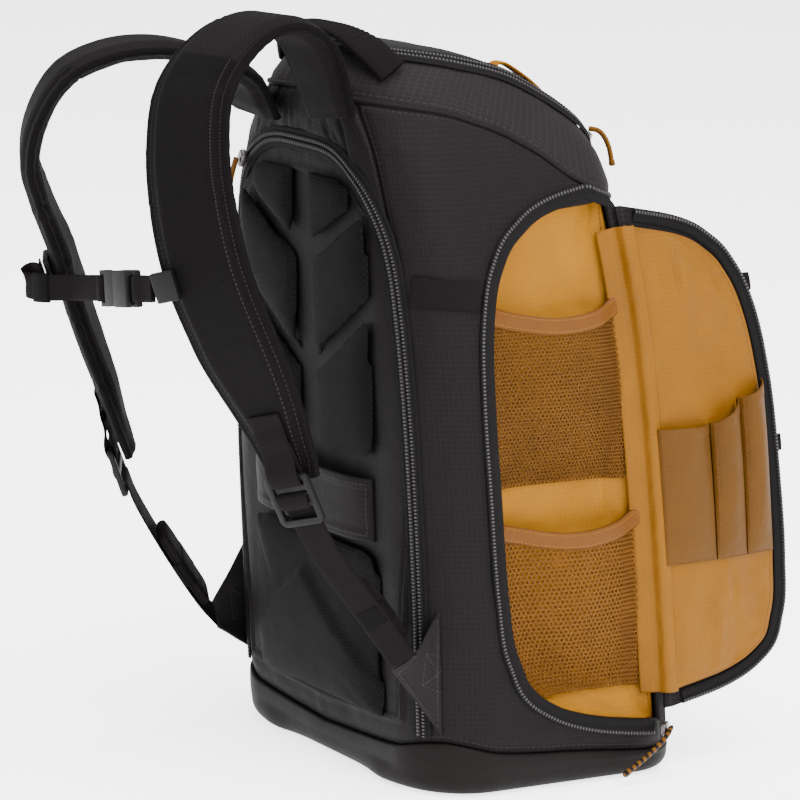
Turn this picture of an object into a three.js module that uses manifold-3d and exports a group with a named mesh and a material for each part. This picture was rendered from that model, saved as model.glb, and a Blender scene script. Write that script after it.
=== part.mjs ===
// Camera backpack with a clamshell rear door, a zipped top lid and an open side pocket.
// Millimetres, +Z up. X runs across the wearer's back, the harness faces -Y, the open pocket is on +X.
// The origin is the centre of the flat underside of the moulded base.

import * as THREE from 'three';
import { mergeVertices } from 'three/addons/utils/BufferGeometryUtils.js';
import Module from 'manifold-3d';

const wasm = await Module();
wasm.setup();

// Body of the bag
const bodyHeight = 480; // base to the rear top seam
const bodyWidth = 312;
const bodyDepth = 205; // at the base
const rearLean = 26; // how far the rear face leans back over the body height
const frontLean = 45; // how far the front face leans back over the body height
const wall = 6; // padded cloth wall
const gap = 0.3; // clearance between touching pieces
const skinLift = 0.9; // clearance of a piece that follows a curved face

// Moulded base
const bootHeight = 38;
const bootWall = 4;
const bootFloor = 5;
const bootProud = 2;
const bootEdge = 12; // height of the rounded lower edge
const footBulge = 5;

// Top lid
const lidWidth = 144;
const lidRear = 93; // rear edge of the lid behind the origin
const lidFront = 70; // front edge of the lid ahead of the origin
const lidTop = bodyHeight + 28;
const lidDrop = 82; // how much lower the front edge of the lid is
const lidCrown = 4;
const lidWall = 4;
const bandWall = 4;
const bandRim = 0.5; // thickness of the band at its seams
const bandBulge = 5;

// Rear door
const doorTop = bodyHeight - 39;
const doorShoulder = bodyHeight - 130; // height where the door's straight sides end
const doorWall = 9;
const archFullness = 4.5; // how long the door's top edge stays level
const archCorner = 2.2; // how round the door's top corners are
const doorEdgeStretch = 6; // most that a gap grows in height where the edge is steep

// Zips and webbing
const zipWidth = 14;
const zipThick = 2.4;
const edgeZipWidth = 11;
const webThick = 1.6;
const sideWebWidth = 20;
const sideWebDrop = 4;

// Back pads
const padThick = 10;
const padInner = 11; // half width of the middle channel
const padOuter = 94;
const padGroove = 9;
const padMargin = 18; // from the pads to the door's zip
const chevronPeak = 0.78; // height share of the lumbar arrow
const chevronSlope = 0.55;
const trolleyLow = 172;
const trolleyHigh = 216;
const trolleyHalf = 86;
const trolleyClear = 10;
const trolleyThick = 3;
const lumbarLow = 46;
const lumbarHigh = 166;
const lumbarHalf = 92;
const lumbarThick = 11;
const lumbarRelief = 5;

// Side pocket and its flap
const mouthLow = 38;
const mouthHeight = bodyHeight * 0.775;
const mouthWidth = 129;
const sideWebHeight = mouthLow + mouthHeight - 60;
const linerDepth = 26;
const linerThick = 2;
const linerRim = 0.012; // overlap behind the mouth's edge, share of its height
const meshThick = 2;
const meshBulge = 20;
const upperMeshLow = 212;
const upperMeshHigh = 328;
const lowerMeshLow = 62;
const lowerMeshHigh = 178;
const bindingHeight = 10;
const bindingSag = 12;
const bindingThick = 1.6;
const flapAngle = 97; // direction of the opened flap, degrees from +X towards +Y
const flapThick = 4;
const flapWidth = 115;
const liningThick = 1.6;
const flapLow = 44;
const flapHeight = mouthHeight - 18;
const liningInset = 13; // from the flap's edge to its lining
const liningPuff = 5;
const slipPocketTop = 245;
const flapPocketLow = 148;
const penPocketTop = 272;
const slipSwell = 8;
const penSwell = 10.5;
const slipClear = 0.3;
const upperTabHeight = 338;
const lowerTabHeight = 222;
const tabLength = 26;
const tabWidth = 12;

// Shoulder straps
const strapWidth = 70;
const strapThick = 14;
const strapTipWidth = 44;
const strapTurn = 32; // how far the strap's lower end turns outwards, degrees
const strapTaperFrom = 0.84;
const tabRun = 44; // length of the buckle's tab up the strap
const tipOverlap = 9; // how far the strap's tip reaches down behind the buckle
const tailThick = 8;
const tailFrom = 5; // steps of the adjuster webbing that the rolled tail covers
const tailTo = 9;
const cornerTabLow = 44;
const cornerTabHigh = 132;
const cornerTabStation = 1.5;
const adjusterWidth = 25;
const buckleWidth = 36;
const buckleLength = 38;
const buckleThick = 4;
const buckleBar = 5;

// Sternum strap
const sternumWidth = 18;
const sternumBuckleLength = 50;
const sternumBuckleWidth = 25;
const sternumBuckleThick = 12;
const clipLength = 18;
const clipHeight = 21;
const clipDepth = 5;
const clipInset = { right: 29, left: 14 }; // from the shoulder straps' middle to the clips
const clipShare = { right: 0.756, left: 0.759 }; // place of the clips along the shoulder straps

// Grab handle
const handleWidth = 23;
const handleThick = 5;
const handleTop = lidTop + 12;
const handleStation = 1.55;
const handleSeat = 0.45; // share of the band's rise where the handle's ends are sewn
const handleLean = -15;

// Zip sliders and pulls
const sliderWidth = 9;
const sliderLength = 13;
const sliderThick = 4;
const pullWidth = 6;
const pullThick = 2.5;
const rearSliderStation = -1.12;
const topSliderStation = 3.66;
const topZipLift = 1.1;
const pocketSliderHeight = 33;
const lidTabSide = 30;
const lidTabRear = 6;
const lidTabFront = 54;
const lidTabWidth = 12;
const tabLift = 7;

// Colours
const ripstop = { color: 0x1c1b1d, roughness: 0.85 };
const paleRipstop = { color: 0x343335, roughness: 0.85 };
const moulded = { color: 0x161618, roughness: 0.6 };
const coil = { color: 0x101011, roughness: 0.5 };
const airMesh = { color: 0x151416, roughness: 0.95 };
const webbing = { color: 0x141315, roughness: 0.8 };
const plastic = { color: 0x111112, roughness: 0.45 };
const tanLining = { color: 0xb0813a, roughness: 0.75 };
const tanMesh = { color: 0x9c7434, roughness: 0.85 };
const tanBinding = { color: 0xa8692c, roughness: 0.7 };
const goldCord = { color: 0xc08a2a, roughness: 0.7 };
const metal = { color: 0x2c2c2e, roughness: 0.35, metalness: 0.8 };

// Perimeter stations: 0 rear centre, 1 and 2 rear corner, 3 and 4 front corner, 5 front centre.
// Positive stations run round the +X side, negative ones round the -X side.
const zipStation = 1.33;
const seamStation = 3.5;

// Height share of the body, half width share, rear and front corner radius as shares of the depth
const planSections = [
  [-0.05, 0.96, 0.24, 0.19],
  [0.0, 0.97, 0.25, 0.19],
  [0.05, 0.988, 0.26, 0.2],
  [0.13, 1.0, 0.27, 0.2],
  [0.42, 1.0, 0.27, 0.2],
  [0.58, 0.975, 0.27, 0.2],
  [0.71, 0.923, 0.26, 0.2],
  [0.83, 0.83, 0.24, 0.2],
  [0.92, 0.725, 0.25, 0.2],
  [0.985, 0.61, 0.29, 0.19],
  [1.08, 0.5, 0.27, 0.18],
];

// Station, height of the top seam as a share of the body height, height of the base's edge as a share
const rimSections = [
  [0.0, 0.998, 0.63],
  [1.0, 0.995, 0.8],
  [1.5, 0.989, 1.0],
  [2.0, 0.975, 0.78],
  [2.25, 0.961, 0.7],
  [2.5, 0.943, 0.65],
  [2.75, 0.915, 0.58],
  [3.0, 0.877, 0.5],
  [3.5, 0.85, 0.47],
  [4.0, 0.835, 0.47],
  [5.0, 0.833, 0.47],
];

// Share of the lid's length from the rear, share of its drop
const crestSections = [
  [0.0, 0.0],
  [0.2, 0.05],
  [0.31, 0.1],
  [0.51, 0.24],
  [0.61, 0.36],
  [0.81, 0.61],
  [0.93, 0.79],
  [1.0, 1.0],
];

// Share of the pocket mouth's height from below, share of its width
const mouthSections = [
  [0.0, 0.05],
  [0.022, 0.45],
  [0.07, 0.8],
  [0.155, 0.96],
  [0.27, 1.0],
  [0.46, 1.0],
  [0.65, 0.98],
  [0.79, 0.92],
  [0.87, 0.83],
  [0.93, 0.68],
  [0.975, 0.42],
  [1.0, 0.05],
];

// The heights and routes below are drawn for a body of this size and follow it when it changes
const drawnHeight = 480;
const drawnWidth = 312;

/** Height on the body for a height in the drawing. */
function onBody(z) {
  return (z * bodyHeight) / drawnHeight;
}

/** Point of a route for a point in the drawing. */
function onRoute([x, y, z]) {
  return new THREE.Vector3(x, y, onBody(z));
}

/** Point of a route that ends at the body's sides, for a point in the drawing. */
function onSideRoute([x, y, z]) {
  return new THREE.Vector3((x * bodyWidth) / drawnWidth, y, onBody(z));
}

// Chevron pads, from the top: low and high edges at the channel and at the outer side, share of the width
const padRows = {
  upper: {
    innerLow: onBody(364),
    outerLow: onBody(409),
    innerHigh: bodyHeight + 20,
    outerHigh: bodyHeight + 20,
    reach: 0.72,
  },
  middle: {
    innerLow: onBody(284),
    outerLow: onBody(338),
    innerHigh: onBody(364),
    outerHigh: onBody(409),
    reach: 1,
  },
  lower: {
    innerLow: trolleyHigh + 6,
    outerLow: trolleyHigh + 6,
    innerHigh: onBody(284),
    outerHigh: onBody(338),
    reach: 1,
  },
};

// Shoulder strap centre line on each side: across, front to back, height
const strapRoute = {
  right: [
    [56, -134.9, 464],
    [53, -141, 492],
    [53, -153, 516],
    [55, -176, 529],
    [58, -200, 527],
    [63, -226, 511],
    [70, -246, 486],
    [78, -254, 450],
    [84, -254, 417],
    [92, -247, 371],
    [98, -229, 323],
    [102, -205, 274],
    [105, -184, 226],
  ],
  left: [
    [-56, -134.5, 456],
    [-54, -147, 480],
    [-53, -176, 496],
    [-57, -212, 504],
    [-63, -247, 501],
    [-70, -276, 487],
    [-76, -294, 456],
    [-80, -297, 427],
    [-84, -289, 405],
    [-90, -268, 361],
    [-95, -254, 324],
    [-100, -233, 272],
    [-104, -209, 212],
  ],
};

// Adjuster webbing below the buckle, down to the corner tab
const adjusterRoute = {
  right: [
    [114, -166, 172],
    [124, -144, 139],
    [134, -127, 112],
    [139, -120, 100],
  ],
  left: [
    [-110, -200, 172],
    [-118, -173, 132],
    [-128, -142, 92],
    [-134, -126, 76],
  ],
};

// Loop of the sternum webbing, from the strap's edge out and back to the left clip
const sternumLoop = [
  [-49, -279, 341],
  [-68, -292, 339],
  [-82, -294, 338],
  [-91, -295, 339],
  [-94, -290, 344],
];

// Runs of the pulls from their sliders, as steps away from the start
const rearPullRun = [
  [-3, -3, -14],
  [-6, -3, -34],
];
const topPullRun = [
  [4, 7, -1],
  [8, 12, -11],
  [10, 14, -26],
];
const pocketPullRun = [
  [8, -8, -3],
  [9, -24, -15],
  [10, -44, -26],
];

const group = new THREE.Group();

/** Adds a named mesh with its own material. */
function addPiece(name, geometry, finish) {
  const mesh = new THREE.Mesh(geometry, new THREE.MeshStandardMaterial(finish));
  mesh.name = name;
  group.add(mesh);
}

/** Smooth lookup in a table whose first column is the position. */
function smoothTable(rows) {
  const positions = rows.map((row) => row[0]);
  const values = rows.flatMap((row) => row.slice(1));
  const columns = rows[0].length - 1;
  const spline = new THREE.CubicInterpolant(positions, values, columns, new Float64Array(columns));
  const first = positions[0];
  const last = positions[positions.length - 1];
  return (at) => Array.from(spline.evaluate(THREE.MathUtils.clamp(at, first, last)));
}

const planAt = smoothTable(planSections);
const rimAt = smoothTable(rimSections);
const crestAt = smoothTable(crestSections);
const mouthAt = smoothTable(mouthSections);

/** Point on a rounded rectangle at a perimeter station. */
function ringPoint(plan, station) {
  const wrapped = ((((station + 5) % 10) + 10) % 10) - 5;
  const side = wrapped < 0 ? -1 : 1;
  const q = Math.abs(wrapped);
  const part = Math.min(Math.floor(q), 4);
  const share = q - part;
  const turn = (share * Math.PI) / 2;
  const { half, rear, front, rearRadius, frontRadius } = plan;
  let x;
  let y;
  if (part === 0) {
    x = share * (half - rearRadius);
    y = rear;
  } else if (part === 1) {
    x = half - rearRadius + rearRadius * Math.sin(turn);
    y = rear + rearRadius - rearRadius * Math.cos(turn);
  } else if (part === 2) {
    x = half;
    y = THREE.MathUtils.lerp(rear + rearRadius, front - frontRadius, share);
  } else if (part === 3) {
    x = half - frontRadius + frontRadius * Math.cos(turn);
    y = front - frontRadius + frontRadius * Math.sin(turn);
  } else {
    x = (half - frontRadius) * (1 - share);
    y = front;
  }
  return [side * x, y];
}

/** Plan of the body at a height. */
function bodyPlan(z) {
  const [half, rearCorner, frontCorner] = planAt(z / bodyHeight);
  return {
    half: (half * bodyWidth) / 2,
    rear: -bodyDepth / 2 - (rearLean * z) / bodyHeight,
    front: bodyDepth / 2 - (frontLean * z) / bodyHeight,
    rearRadius: rearCorner * bodyDepth,
    frontRadius: frontCorner * bodyDepth,
  };
}

/** Point of the body's outer face. */
function wallPoint(station, z) {
  const [x, y] = ringPoint(bodyPlan(z), station);
  return new THREE.Vector3(x, y, z);
}

/** Outward direction of a surface given as a function of two parameters. */
function surfaceNormal(surface, a, b, stepA, stepB) {
  const alongA = surface(a + stepA, b).sub(surface(a - stepA, b));
  const alongB = surface(a, b + stepB).sub(surface(a, b - stepB));
  return alongA.cross(alongB).normalize();
}

/** Point at a distance outside the body's outer face. */
function wallOffset(station, z, out) {
  return wallPoint(station, z).addScaledVector(surfaceNormal(wallPoint, station, z, 0.02, 2), out);
}

/** Station that lies a given distance behind the pocket's hinge at a height. */
function stationBehindHinge(z, distance) {
  const plan = bodyPlan(z);
  const cornerLength = (plan.frontRadius * Math.PI) / 2;
  const flat = plan.front - plan.frontRadius - plan.rear - plan.rearRadius;
  const onCorner = cornerLength * (seamStation - 3);
  if (distance < onCorner) return seamStation - distance / cornerLength;
  return 3 - (distance - onCorner) / flat;
}

/** Station on the rear face at a distance from the centre line. */
function stationAcrossRear(z, x) {
  const plan = bodyPlan(z);
  const flat = plan.half - plan.rearRadius;
  const distance = Math.abs(x);
  const turn = Math.asin(THREE.MathUtils.clamp((distance - flat) / plan.rearRadius, 0, 1));
  const station = distance < flat ? distance / flat : 1 + turn / (Math.PI / 2);
  return Math.sign(x) * station;
}

/** Turns a triangle list right side out and gives it normals. */
function finishGeometry(positions, triangles) {
  let volume = 0;
  const point = (index) => new THREE.Vector3().fromArray(positions, index * 3);
  for (let i = 0; i < triangles.length; i += 3) {
    const [a, b, c] = [0, 1, 2].map((k) => point(triangles[i + k]));
    volume += a.dot(b.cross(c));
  }
  const ordered = volume < 0 ? triangles.slice().reverse() : triangles;
  const geometry = new THREE.BufferGeometry();
  geometry.setAttribute('position', new THREE.Float32BufferAttribute(positions, 3));
  geometry.setIndex(ordered);
  geometry.computeVertexNormals();
  return geometry;
}

/**
 * Closed body through rings of points. A ring runs along one face and back along the other.
 * A round ring is closed by triangles that meet in its middle.
 */
function loft(rings, closed = false, round = false) {
  const count = rings[0].length;
  const positions = rings.flat().flatMap((point) => [point.x, point.y, point.z]);
  const triangles = [];
  const quad = (a, b, c, d) => triangles.push(a, b, c, a, c, d);
  const spans = closed ? rings.length : rings.length - 1;
  for (let i = 0; i < spans; i += 1) {
    const here = i * count;
    const next = ((i + 1) % rings.length) * count;
    for (let j = 0; j < count; j += 1) {
      const k = (j + 1) % count;
      quad(here + j, here + k, next + k, next + j);
    }
  }
  const last = (rings.length - 1) * count;
  if (round) {
    for (const [start, turned] of [
      [0, true],
      [last, false],
    ]) {
      const ring = rings[start / count];
      const middle = ring.reduce((sum, point) => sum.add(point), new THREE.Vector3()).divideScalar(count);
      const centre = positions.push(middle.x, middle.y, middle.z) / 3 - 1;
      for (let j = 0; j < count; j += 1) {
        const [a, b] = [start + j, start + ((j + 1) % count)];
        triangles.push(...(turned ? [b, a, centre] : [a, b, centre]));
      }
    }
  } else if (!closed) {
    for (let j = 0; j < count / 2 - 1; j += 1) {
      const back = count - 1 - j;
      quad(j, back, back - 1, j + 1);
      quad(last + j, last + j + 1, last + back - 1, last + back);
    }
  }
  return finishGeometry(positions, triangles);
}

/** Evenly spaced numbers from low to high. */
function steps(low, high, count) {
  return Array.from({ length: count + 1 }, (_, i) => THREE.MathUtils.lerp(low, high, i / count));
}

/** Wall between two offsets of a surface. place(u, v) gives the offset point. */
function skin({ columns, rows, outer, inner, point, closed = false }) {
  const rings = columns.map((u) => {
    const out = rows.map((v) => point(u, v, outer(u, v)));
    const back = rows.map((v) => point(u, v, inner(u, v))).reverse();
    return [...out, ...back];
  });
  return loft(rings, closed);
}

/** Body panel between two stations and two edge heights. */
function panel({ stations, low, high, rows, thickness, proud = 0 }) {
  return skin({
    columns: stations,
    rows: steps(0, 1, rows),
    outer: () => proud,
    inner: () => proud - thickness,
    point: (p, v, out) => wallOffset(p, THREE.MathUtils.lerp(low(p), high(p), v), out),
  });
}

/** Stations from one end to the other, closer together round the corners. */
function stationRun(from, to) {
  const marks = [from];
  for (let i = Math.floor(from); i < to; i += 1) {
    const corner = [1, 3].includes(Math.floor(Math.abs(((((i + 0.5 + 5) % 10) + 10) % 10) - 5)));
    const parts = corner ? 4 : 3;
    for (let j = 0; j < parts; j += 1) {
      const at = i + j / parts;
      if (at > from + 0.04 && at < to - 0.04) marks.push(at);
    }
  }
  marks.push(to);
  return marks;
}

/** Flat strip along a path, its width along side(i) and its thickness along the normal. */
function ribbon({ path, side, width, thickness, lift = 0, crown = [[-1, 1], [1, 1]] }) {
  const rings = path.map((centre, i) => {
    const before = path[Math.max(i - 1, 0)];
    const after = path[Math.min(i + 1, path.length - 1)];
    const along = after.clone().sub(before).normalize();
    const across = side(i).clone().addScaledVector(along, -side(i).dot(along)).normalize();
    const up = across.clone().cross(along);
    const half = (typeof width === 'function' ? width(i / (path.length - 1)) : width) / 2;
    const thick = typeof thickness === 'function' ? thickness(i / (path.length - 1)) : thickness;
    const at = (share, height) => centre.clone().addScaledVector(across, share * half).addScaledVector(up, height);
    const top = crown.map(([share, height]) => at(share, lift + thick * height));
    const bottom = crown.map(([share, height, low = 0]) => at(share, lift + thick * low)).reverse();
    return [...top, ...bottom];
  });
  return loft(rings);
}

/** Strip that lies on the body along a list of stations and heights. */
function surfaceStrip({ marks, width, thickness, lift = gap }) {
  const path = marks.map(([p, z]) => wallPoint(p, z));
  const normals = marks.map(([p, z]) => surfaceNormal(wallPoint, p, z, 0.02, 2));
  const along = (i) => path[Math.min(i + 1, path.length - 1)].clone().sub(path[Math.max(i - 1, 0)]);
  return ribbon({
    path,
    side: (i) => along(i).cross(normals[i]),
    width,
    thickness,
    lift,
  });
}

/** Solid for joining and cutting. */
function toSolid(geometry) {
  const bare = geometry.clone();
  bare.deleteAttribute('normal');
  bare.deleteAttribute('uv');
  const merged = mergeVertices(bare, 1e-4);
  return new wasm.Manifold(
    new wasm.Mesh({
      numProp: 3,
      vertProperties: new Float32Array(merged.attributes.position.array),
      triVerts: new Uint32Array(merged.index.array),
    })
  );
}

/** Geometry of a joined or cut solid. */
function fromSolid(solid) {
  const mesh = solid.getMesh();
  const geometry = new THREE.BufferGeometry();
  geometry.setAttribute('position', new THREE.BufferAttribute(new Float32Array(mesh.vertProperties), 3));
  geometry.setIndex(new THREE.BufferAttribute(new Uint32Array(mesh.triVerts), 1));
  geometry.computeVertexNormals();
  return geometry;
}

/** Places a geometry made flat in its own frame: x across, y along, z outwards. */
function placed(geometry, origin, across, along) {
  const out = across.clone().cross(along).normalize();
  const matrix = new THREE.Matrix4().makeBasis(across, along, out).setPosition(origin);
  return geometry.applyMatrix4(matrix);
}

const seamHeight = (p) => rimAt(foldStation(p))[0] * bodyHeight;
const bootTopAt = (p) => rimAt(foldStation(p))[1] * bootHeight;

/** Station folded onto the +X side, for tables that are alike on both sides. */
function foldStation(p) {
  return Math.abs(((((p + 5) % 10) + 10) % 10) - 5);
}

/** Top edge of the rear door at a station. */
function doorEdge(p) {
  const share = Math.min(Math.abs(p) / zipStation, 1);
  const arch = (1 - share ** archFullness) ** (1 / archCorner);
  return THREE.MathUtils.lerp(doorShoulder, doorTop, arch);
}

/** Door edge moved across its own run, up for a positive distance. */
function doorEdgeShifted(p, distance) {
  const step = 0.01;
  const rise = doorEdge(p + step) - doorEdge(p - step);
  const run = wallPoint(p + step, doorShoulder).distanceTo(wallPoint(p - step, doorShoulder));
  return doorEdge(p) + distance * Math.min(Math.hypot(1, rise / run), doorEdgeStretch);
}

/** Height of the lid's edge at a distance along the bag. */
function crestHeight(y) {
  return lidTop - lidDrop * crestAt((y + lidRear) / (lidFront + lidRear))[0];
}

/** Point of the lid: reach 1 is the zipped edge, 0 the middle. */
function lidPoint(station, reach) {
  const plan = {
    half: lidWidth / 2,
    rear: -lidRear,
    front: lidFront,
    rearRadius: lidWidth * 0.36,
    frontRadius: lidWidth * 0.25,
  };
  const [x, y] = ringPoint(plan, station);
  const middle = (lidFront - lidRear) / 2;
  const at = new THREE.Vector3(x * reach, middle + (y - middle) * reach, 0);
  at.z = crestHeight(at.y) + lidCrown * (1 - reach * reach);
  return at;
}

/** Point of the sloping band between the top seam and the lid. */
function bandPoint(station, share) {
  const from = wallPoint(station, seamHeight(station));
  const to = lidPoint(station, 1);
  const at = from.clone().lerp(to, share);
  const outward = wallPoint(station, seamHeight(station)).setZ(0).normalize().setZ(1).normalize();
  return at.addScaledVector(outward, bandBulge * Math.sin(Math.PI * share));
}

/** Point at a distance outside the band. */
function bandOffset(station, share, out) {
  const normal = surfaceNormal(bandPoint, station, share, 0.02, 0.02);
  return bandPoint(station, share).addScaledVector(normal, out);
}

// Panels of the shell
{
  const margin = gap / 40;
  const low = (p) => bootTopAt(p) + gap;
  const high = (p) => seamHeight(p) - gap;
  addPiece(
    'front_panel',
    panel({
      stations: stationRun(seamStation + margin, 10 - seamStation - margin),
      low,
      high,
      rows: 9,
      thickness: wall,
    }),
    ripstop
  );
  const sideStations = stationRun(zipStation + margin, seamStation - margin);
  const rightSide = panel({ stations: sideStations, low, high, rows: 12, thickness: wall });
  const mouthCut = skin({
    columns: steps(-0.03, 1, 12),
    rows: mouthSections.map((row) => row[0]),
    outer: () => wall * 2,
    inner: () => -wall * 2,
    point: (u, v, out) => mouthPoint(u, v, out),
  });
  addPiece('side_panel_right', fromSolid(toSolid(rightSide).subtract(toSolid(mouthCut))), ripstop);
  addPiece(
    'side_panel_left',
    panel({
      stations: sideStations.map((p) => -p).reverse(),
      low,
      high,
      rows: 12,
      thickness: wall,
    }),
    ripstop
  );
  addPiece(
    'rear_yoke',
    panel({
      stations: steps(-zipStation + margin, zipStation - margin, 20),
      low: (p) => doorEdgeShifted(p, 2 * gap),
      high,
      rows: 4,
      thickness: wall,
    }),
    ripstop
  );
  addPiece(
    'rear_door',
    panel({
      stations: steps(-zipStation + margin, zipStation - margin, 20),
      low,
      high: (p) => doorEdgeShifted(p, -2 * gap),
      rows: 8,
      thickness: doorWall,
    }),
    ripstop
  );
}

/** Point of the pocket mouth: u 0 at the hinge and 1 at the rear edge, v from below. */
function mouthPoint(u, v, out) {
  const z = mouthLow + mouthHeight * v;
  const distance = u * mouthAt(v)[0] * mouthWidth;
  return wallOffset(stationBehindHinge(z, distance), z, out);
}

// Moulded base with a flat underside and two rounded feet at the rear
{
  const stations = stationRun(-5, 5).slice(0, -1);
  const foot = (p, z) => {
    const near = Math.exp(-(((foldStation(p) - 0.8) / 0.22) ** 2));
    return footBulge * near * Math.max(0, 1 - z / bootEdge / 1.6);
  };
  const at = (z, out) => stations.map((p) => wallOffset(p, z, out + foot(p, z)));
  const rings = [
    at(0, -bootEdge * 1.25).map((point) => point.setZ(0)),
    at(bootEdge * 0.15, -bootEdge * 0.6),
    at(bootEdge * 0.6, -bootEdge * 0.12),
    at(bootEdge * 1.2, bootProud),
    stations.map((p) => wallOffset(p, bootTopAt(p), bootProud)),
    stations.map((p) => wallOffset(p, bootTopAt(p), bootProud - bootWall)),
    stations.map((p) => wallOffset(p, bootFloor, -bootEdge - bootWall).setZ(bootFloor)),
  ];
  addPiece('base_boot', loft(rings, false, true), moulded);
}

// Sloping band and the lid that it carries
{
  const stations = stationRun(-5, 5).slice(0, -1);
  const bandRows = steps(0, 1, 3);
  addPiece(
    'top_band',
    skin({
      columns: stations,
      rows: bandRows,
      outer: () => 0,
      inner: (p, v) => -bandRim - (bandWall - bandRim) * Math.sin(Math.PI * v),
      closed: true,
      point: (p, v, out) => bandOffset(p, THREE.MathUtils.lerp(0.02, 0.98, v), out),
    }),
    paleRipstop
  );
  const reaches = [0.965, 0.8, 0.5, 0.12];
  const down = new THREE.Vector3(0, 0, -lidWall);
  const rings = [
    ...reaches.map((reach) => stations.map((p) => lidPoint(p, reach))).reverse(),
    ...reaches.map((reach) => stations.map((p) => lidPoint(p, reach).add(down))),
  ];
  addPiece('top_lid', loft(rings, false, true), ripstop);
}

// Zips
{
  const sideHeights = [bootHeight + 4, ...[110, 180, 250, 310].map(onBody), doorShoulder];
  const arch = steps(-1, 1, 24).slice(1, -1).map((share) => {
    const p = Math.sin((share * Math.PI) / 2) * zipStation;
    return [p, doorEdge(p)];
  });
  const marks = [
    ...sideHeights.map((z) => [-zipStation, z]),
    ...arch,
    ...sideHeights.map((z) => [zipStation, z]).reverse(),
  ];
  addPiece('rear_zip', surfaceStrip({ marks, width: zipWidth, thickness: zipThick, lift: skinLift }), coil);

  const run = steps(-3.6, 3.6, 36);
  const path = run.map((p) => lidPoint(p, 1));
  const normals = run.map((p) => surfaceNormal(bandPoint, p, 0.95, 0.02, 0.02).add(new THREE.Vector3(0, 0, 1)));
  const along = (i) => path[Math.min(i + 1, path.length - 1)].clone().sub(path[Math.max(i - 1, 0)]);
  addPiece(
    'top_zip',
    ribbon({
      path,
      side: (i) => along(i).cross(normals[i]),
      width: zipWidth,
      thickness: zipThick,
      lift: topZipLift,
    }),
    coil
  );
}

// Back pads, trolley band and lumbar pad on the door
{
  const bump = (share, power) => Math.sqrt(Math.max(0, 1 - Math.abs(2 * share - 1) ** power));
  const rearPoint = (x, z, out) => wallOffset(stationAcrossRear(z, x), z, out);
  for (const [side, sign] of Object.entries({ right: 1, left: -1 })) {
    for (const [row, edge] of Object.entries(padRows)) {
      const reach = padInner + (padOuter - padInner) * edge.reach;
      const lineAt = (inner, outer, x) =>
        inner + ((outer - inner) * (x - padInner)) / (padOuter - padInner);
      const archAt = (x) => doorEdge(stationAcrossRear(doorTop - 40, x)) - padMargin;
      const point = (u, v, out) => {
        const x = THREE.MathUtils.lerp(padInner, reach, u);
        const low = lineAt(edge.innerLow, edge.outerLow, x) + padGroove / 2;
        const high = Math.min(lineAt(edge.innerHigh, edge.outerHigh, x) - padGroove / 2, archAt(x));
        return rearPoint(sign * x, THREE.MathUtils.lerp(low, high, v), out);
      };
      addPiece(
        `back_pad_${side}_${row}`,
        skin({
          columns: steps(0, 1, 5),
          rows: [0, 0.12, 0.35, 0.65, 0.88, 1],
          outer: (u, v) => skinLift + padThick * (0.25 + 0.75 * bump(u, 4) * bump(v, 4)),
          inner: () => skinLift,
          point,
        }),
        airMesh
      );
    }
  }
  addPiece(
    'trolley_band',
    skin({
      columns: steps(-1, 1, 12),
      rows: steps(0, 1, 2),
      outer: (u) => gap + trolleyThick + trolleyClear * (1 - Math.abs(u) ** 6),
      inner: (u) => gap + trolleyClear * (1 - Math.abs(u) ** 6),
      point: (u, v, out) =>
        rearPoint(u * trolleyHalf, THREE.MathUtils.lerp(trolleyLow, trolleyHigh, v), out),
    }),
    ripstop
  );
  const chevron = (u, v) => {
    const rise = v - (chevronPeak - chevronSlope * Math.abs(u));
    return THREE.MathUtils.smoothstep(-rise, -0.04, 0.04);
  };
  addPiece(
    'lumbar_pad',
    skin({
      columns: steps(-1, 1, 14),
      rows: steps(0, 1, 9),
      outer: (u, v) => {
        const crown = bump((u + 1) / 2, 6) * bump(v, 6);
        return gap + lumbarThick * (0.25 + 0.75 * crown) + lumbarRelief * crown * chevron(u, v);
      },
      inner: () => gap,
      point: (u, v, out) =>
        rearPoint(u * lumbarHalf, THREE.MathUtils.lerp(lumbarLow, lumbarHigh, v), out),
    }),
    airMesh
  );
}

/** Point of the side pocket's area from a distance behind the hinge and a height. */
function mouthFlat(distance, z, out) {
  return wallOffset(stationBehindHinge(z, distance), z, out);
}

/** Outline with a point added halfway along each of its runs. */
function finer(outline) {
  return outline.flatMap(([w, z], i) => {
    if (i === 0) return [[w, z]];
    const [w0, z0] = outline[i - 1];
    return [
      [(w + w0) / 2, (z + z0) / 2],
      [w, z],
    ];
  });
}

/** Outline moved sideways, away from the hinge side for a positive shift. */
function shiftOutline(outline, shift) {
  return outline.map(([w, z], i) => {
    const [w0, z0] = outline[Math.max(i - 1, 0)];
    const [w1, z1] = outline[Math.min(i + 1, outline.length - 1)];
    const length = Math.hypot(w1 - w0, z1 - z0);
    return [w + (shift * (z1 - z0)) / length, z - (shift * (w1 - w0)) / length];
  });
}

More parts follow.
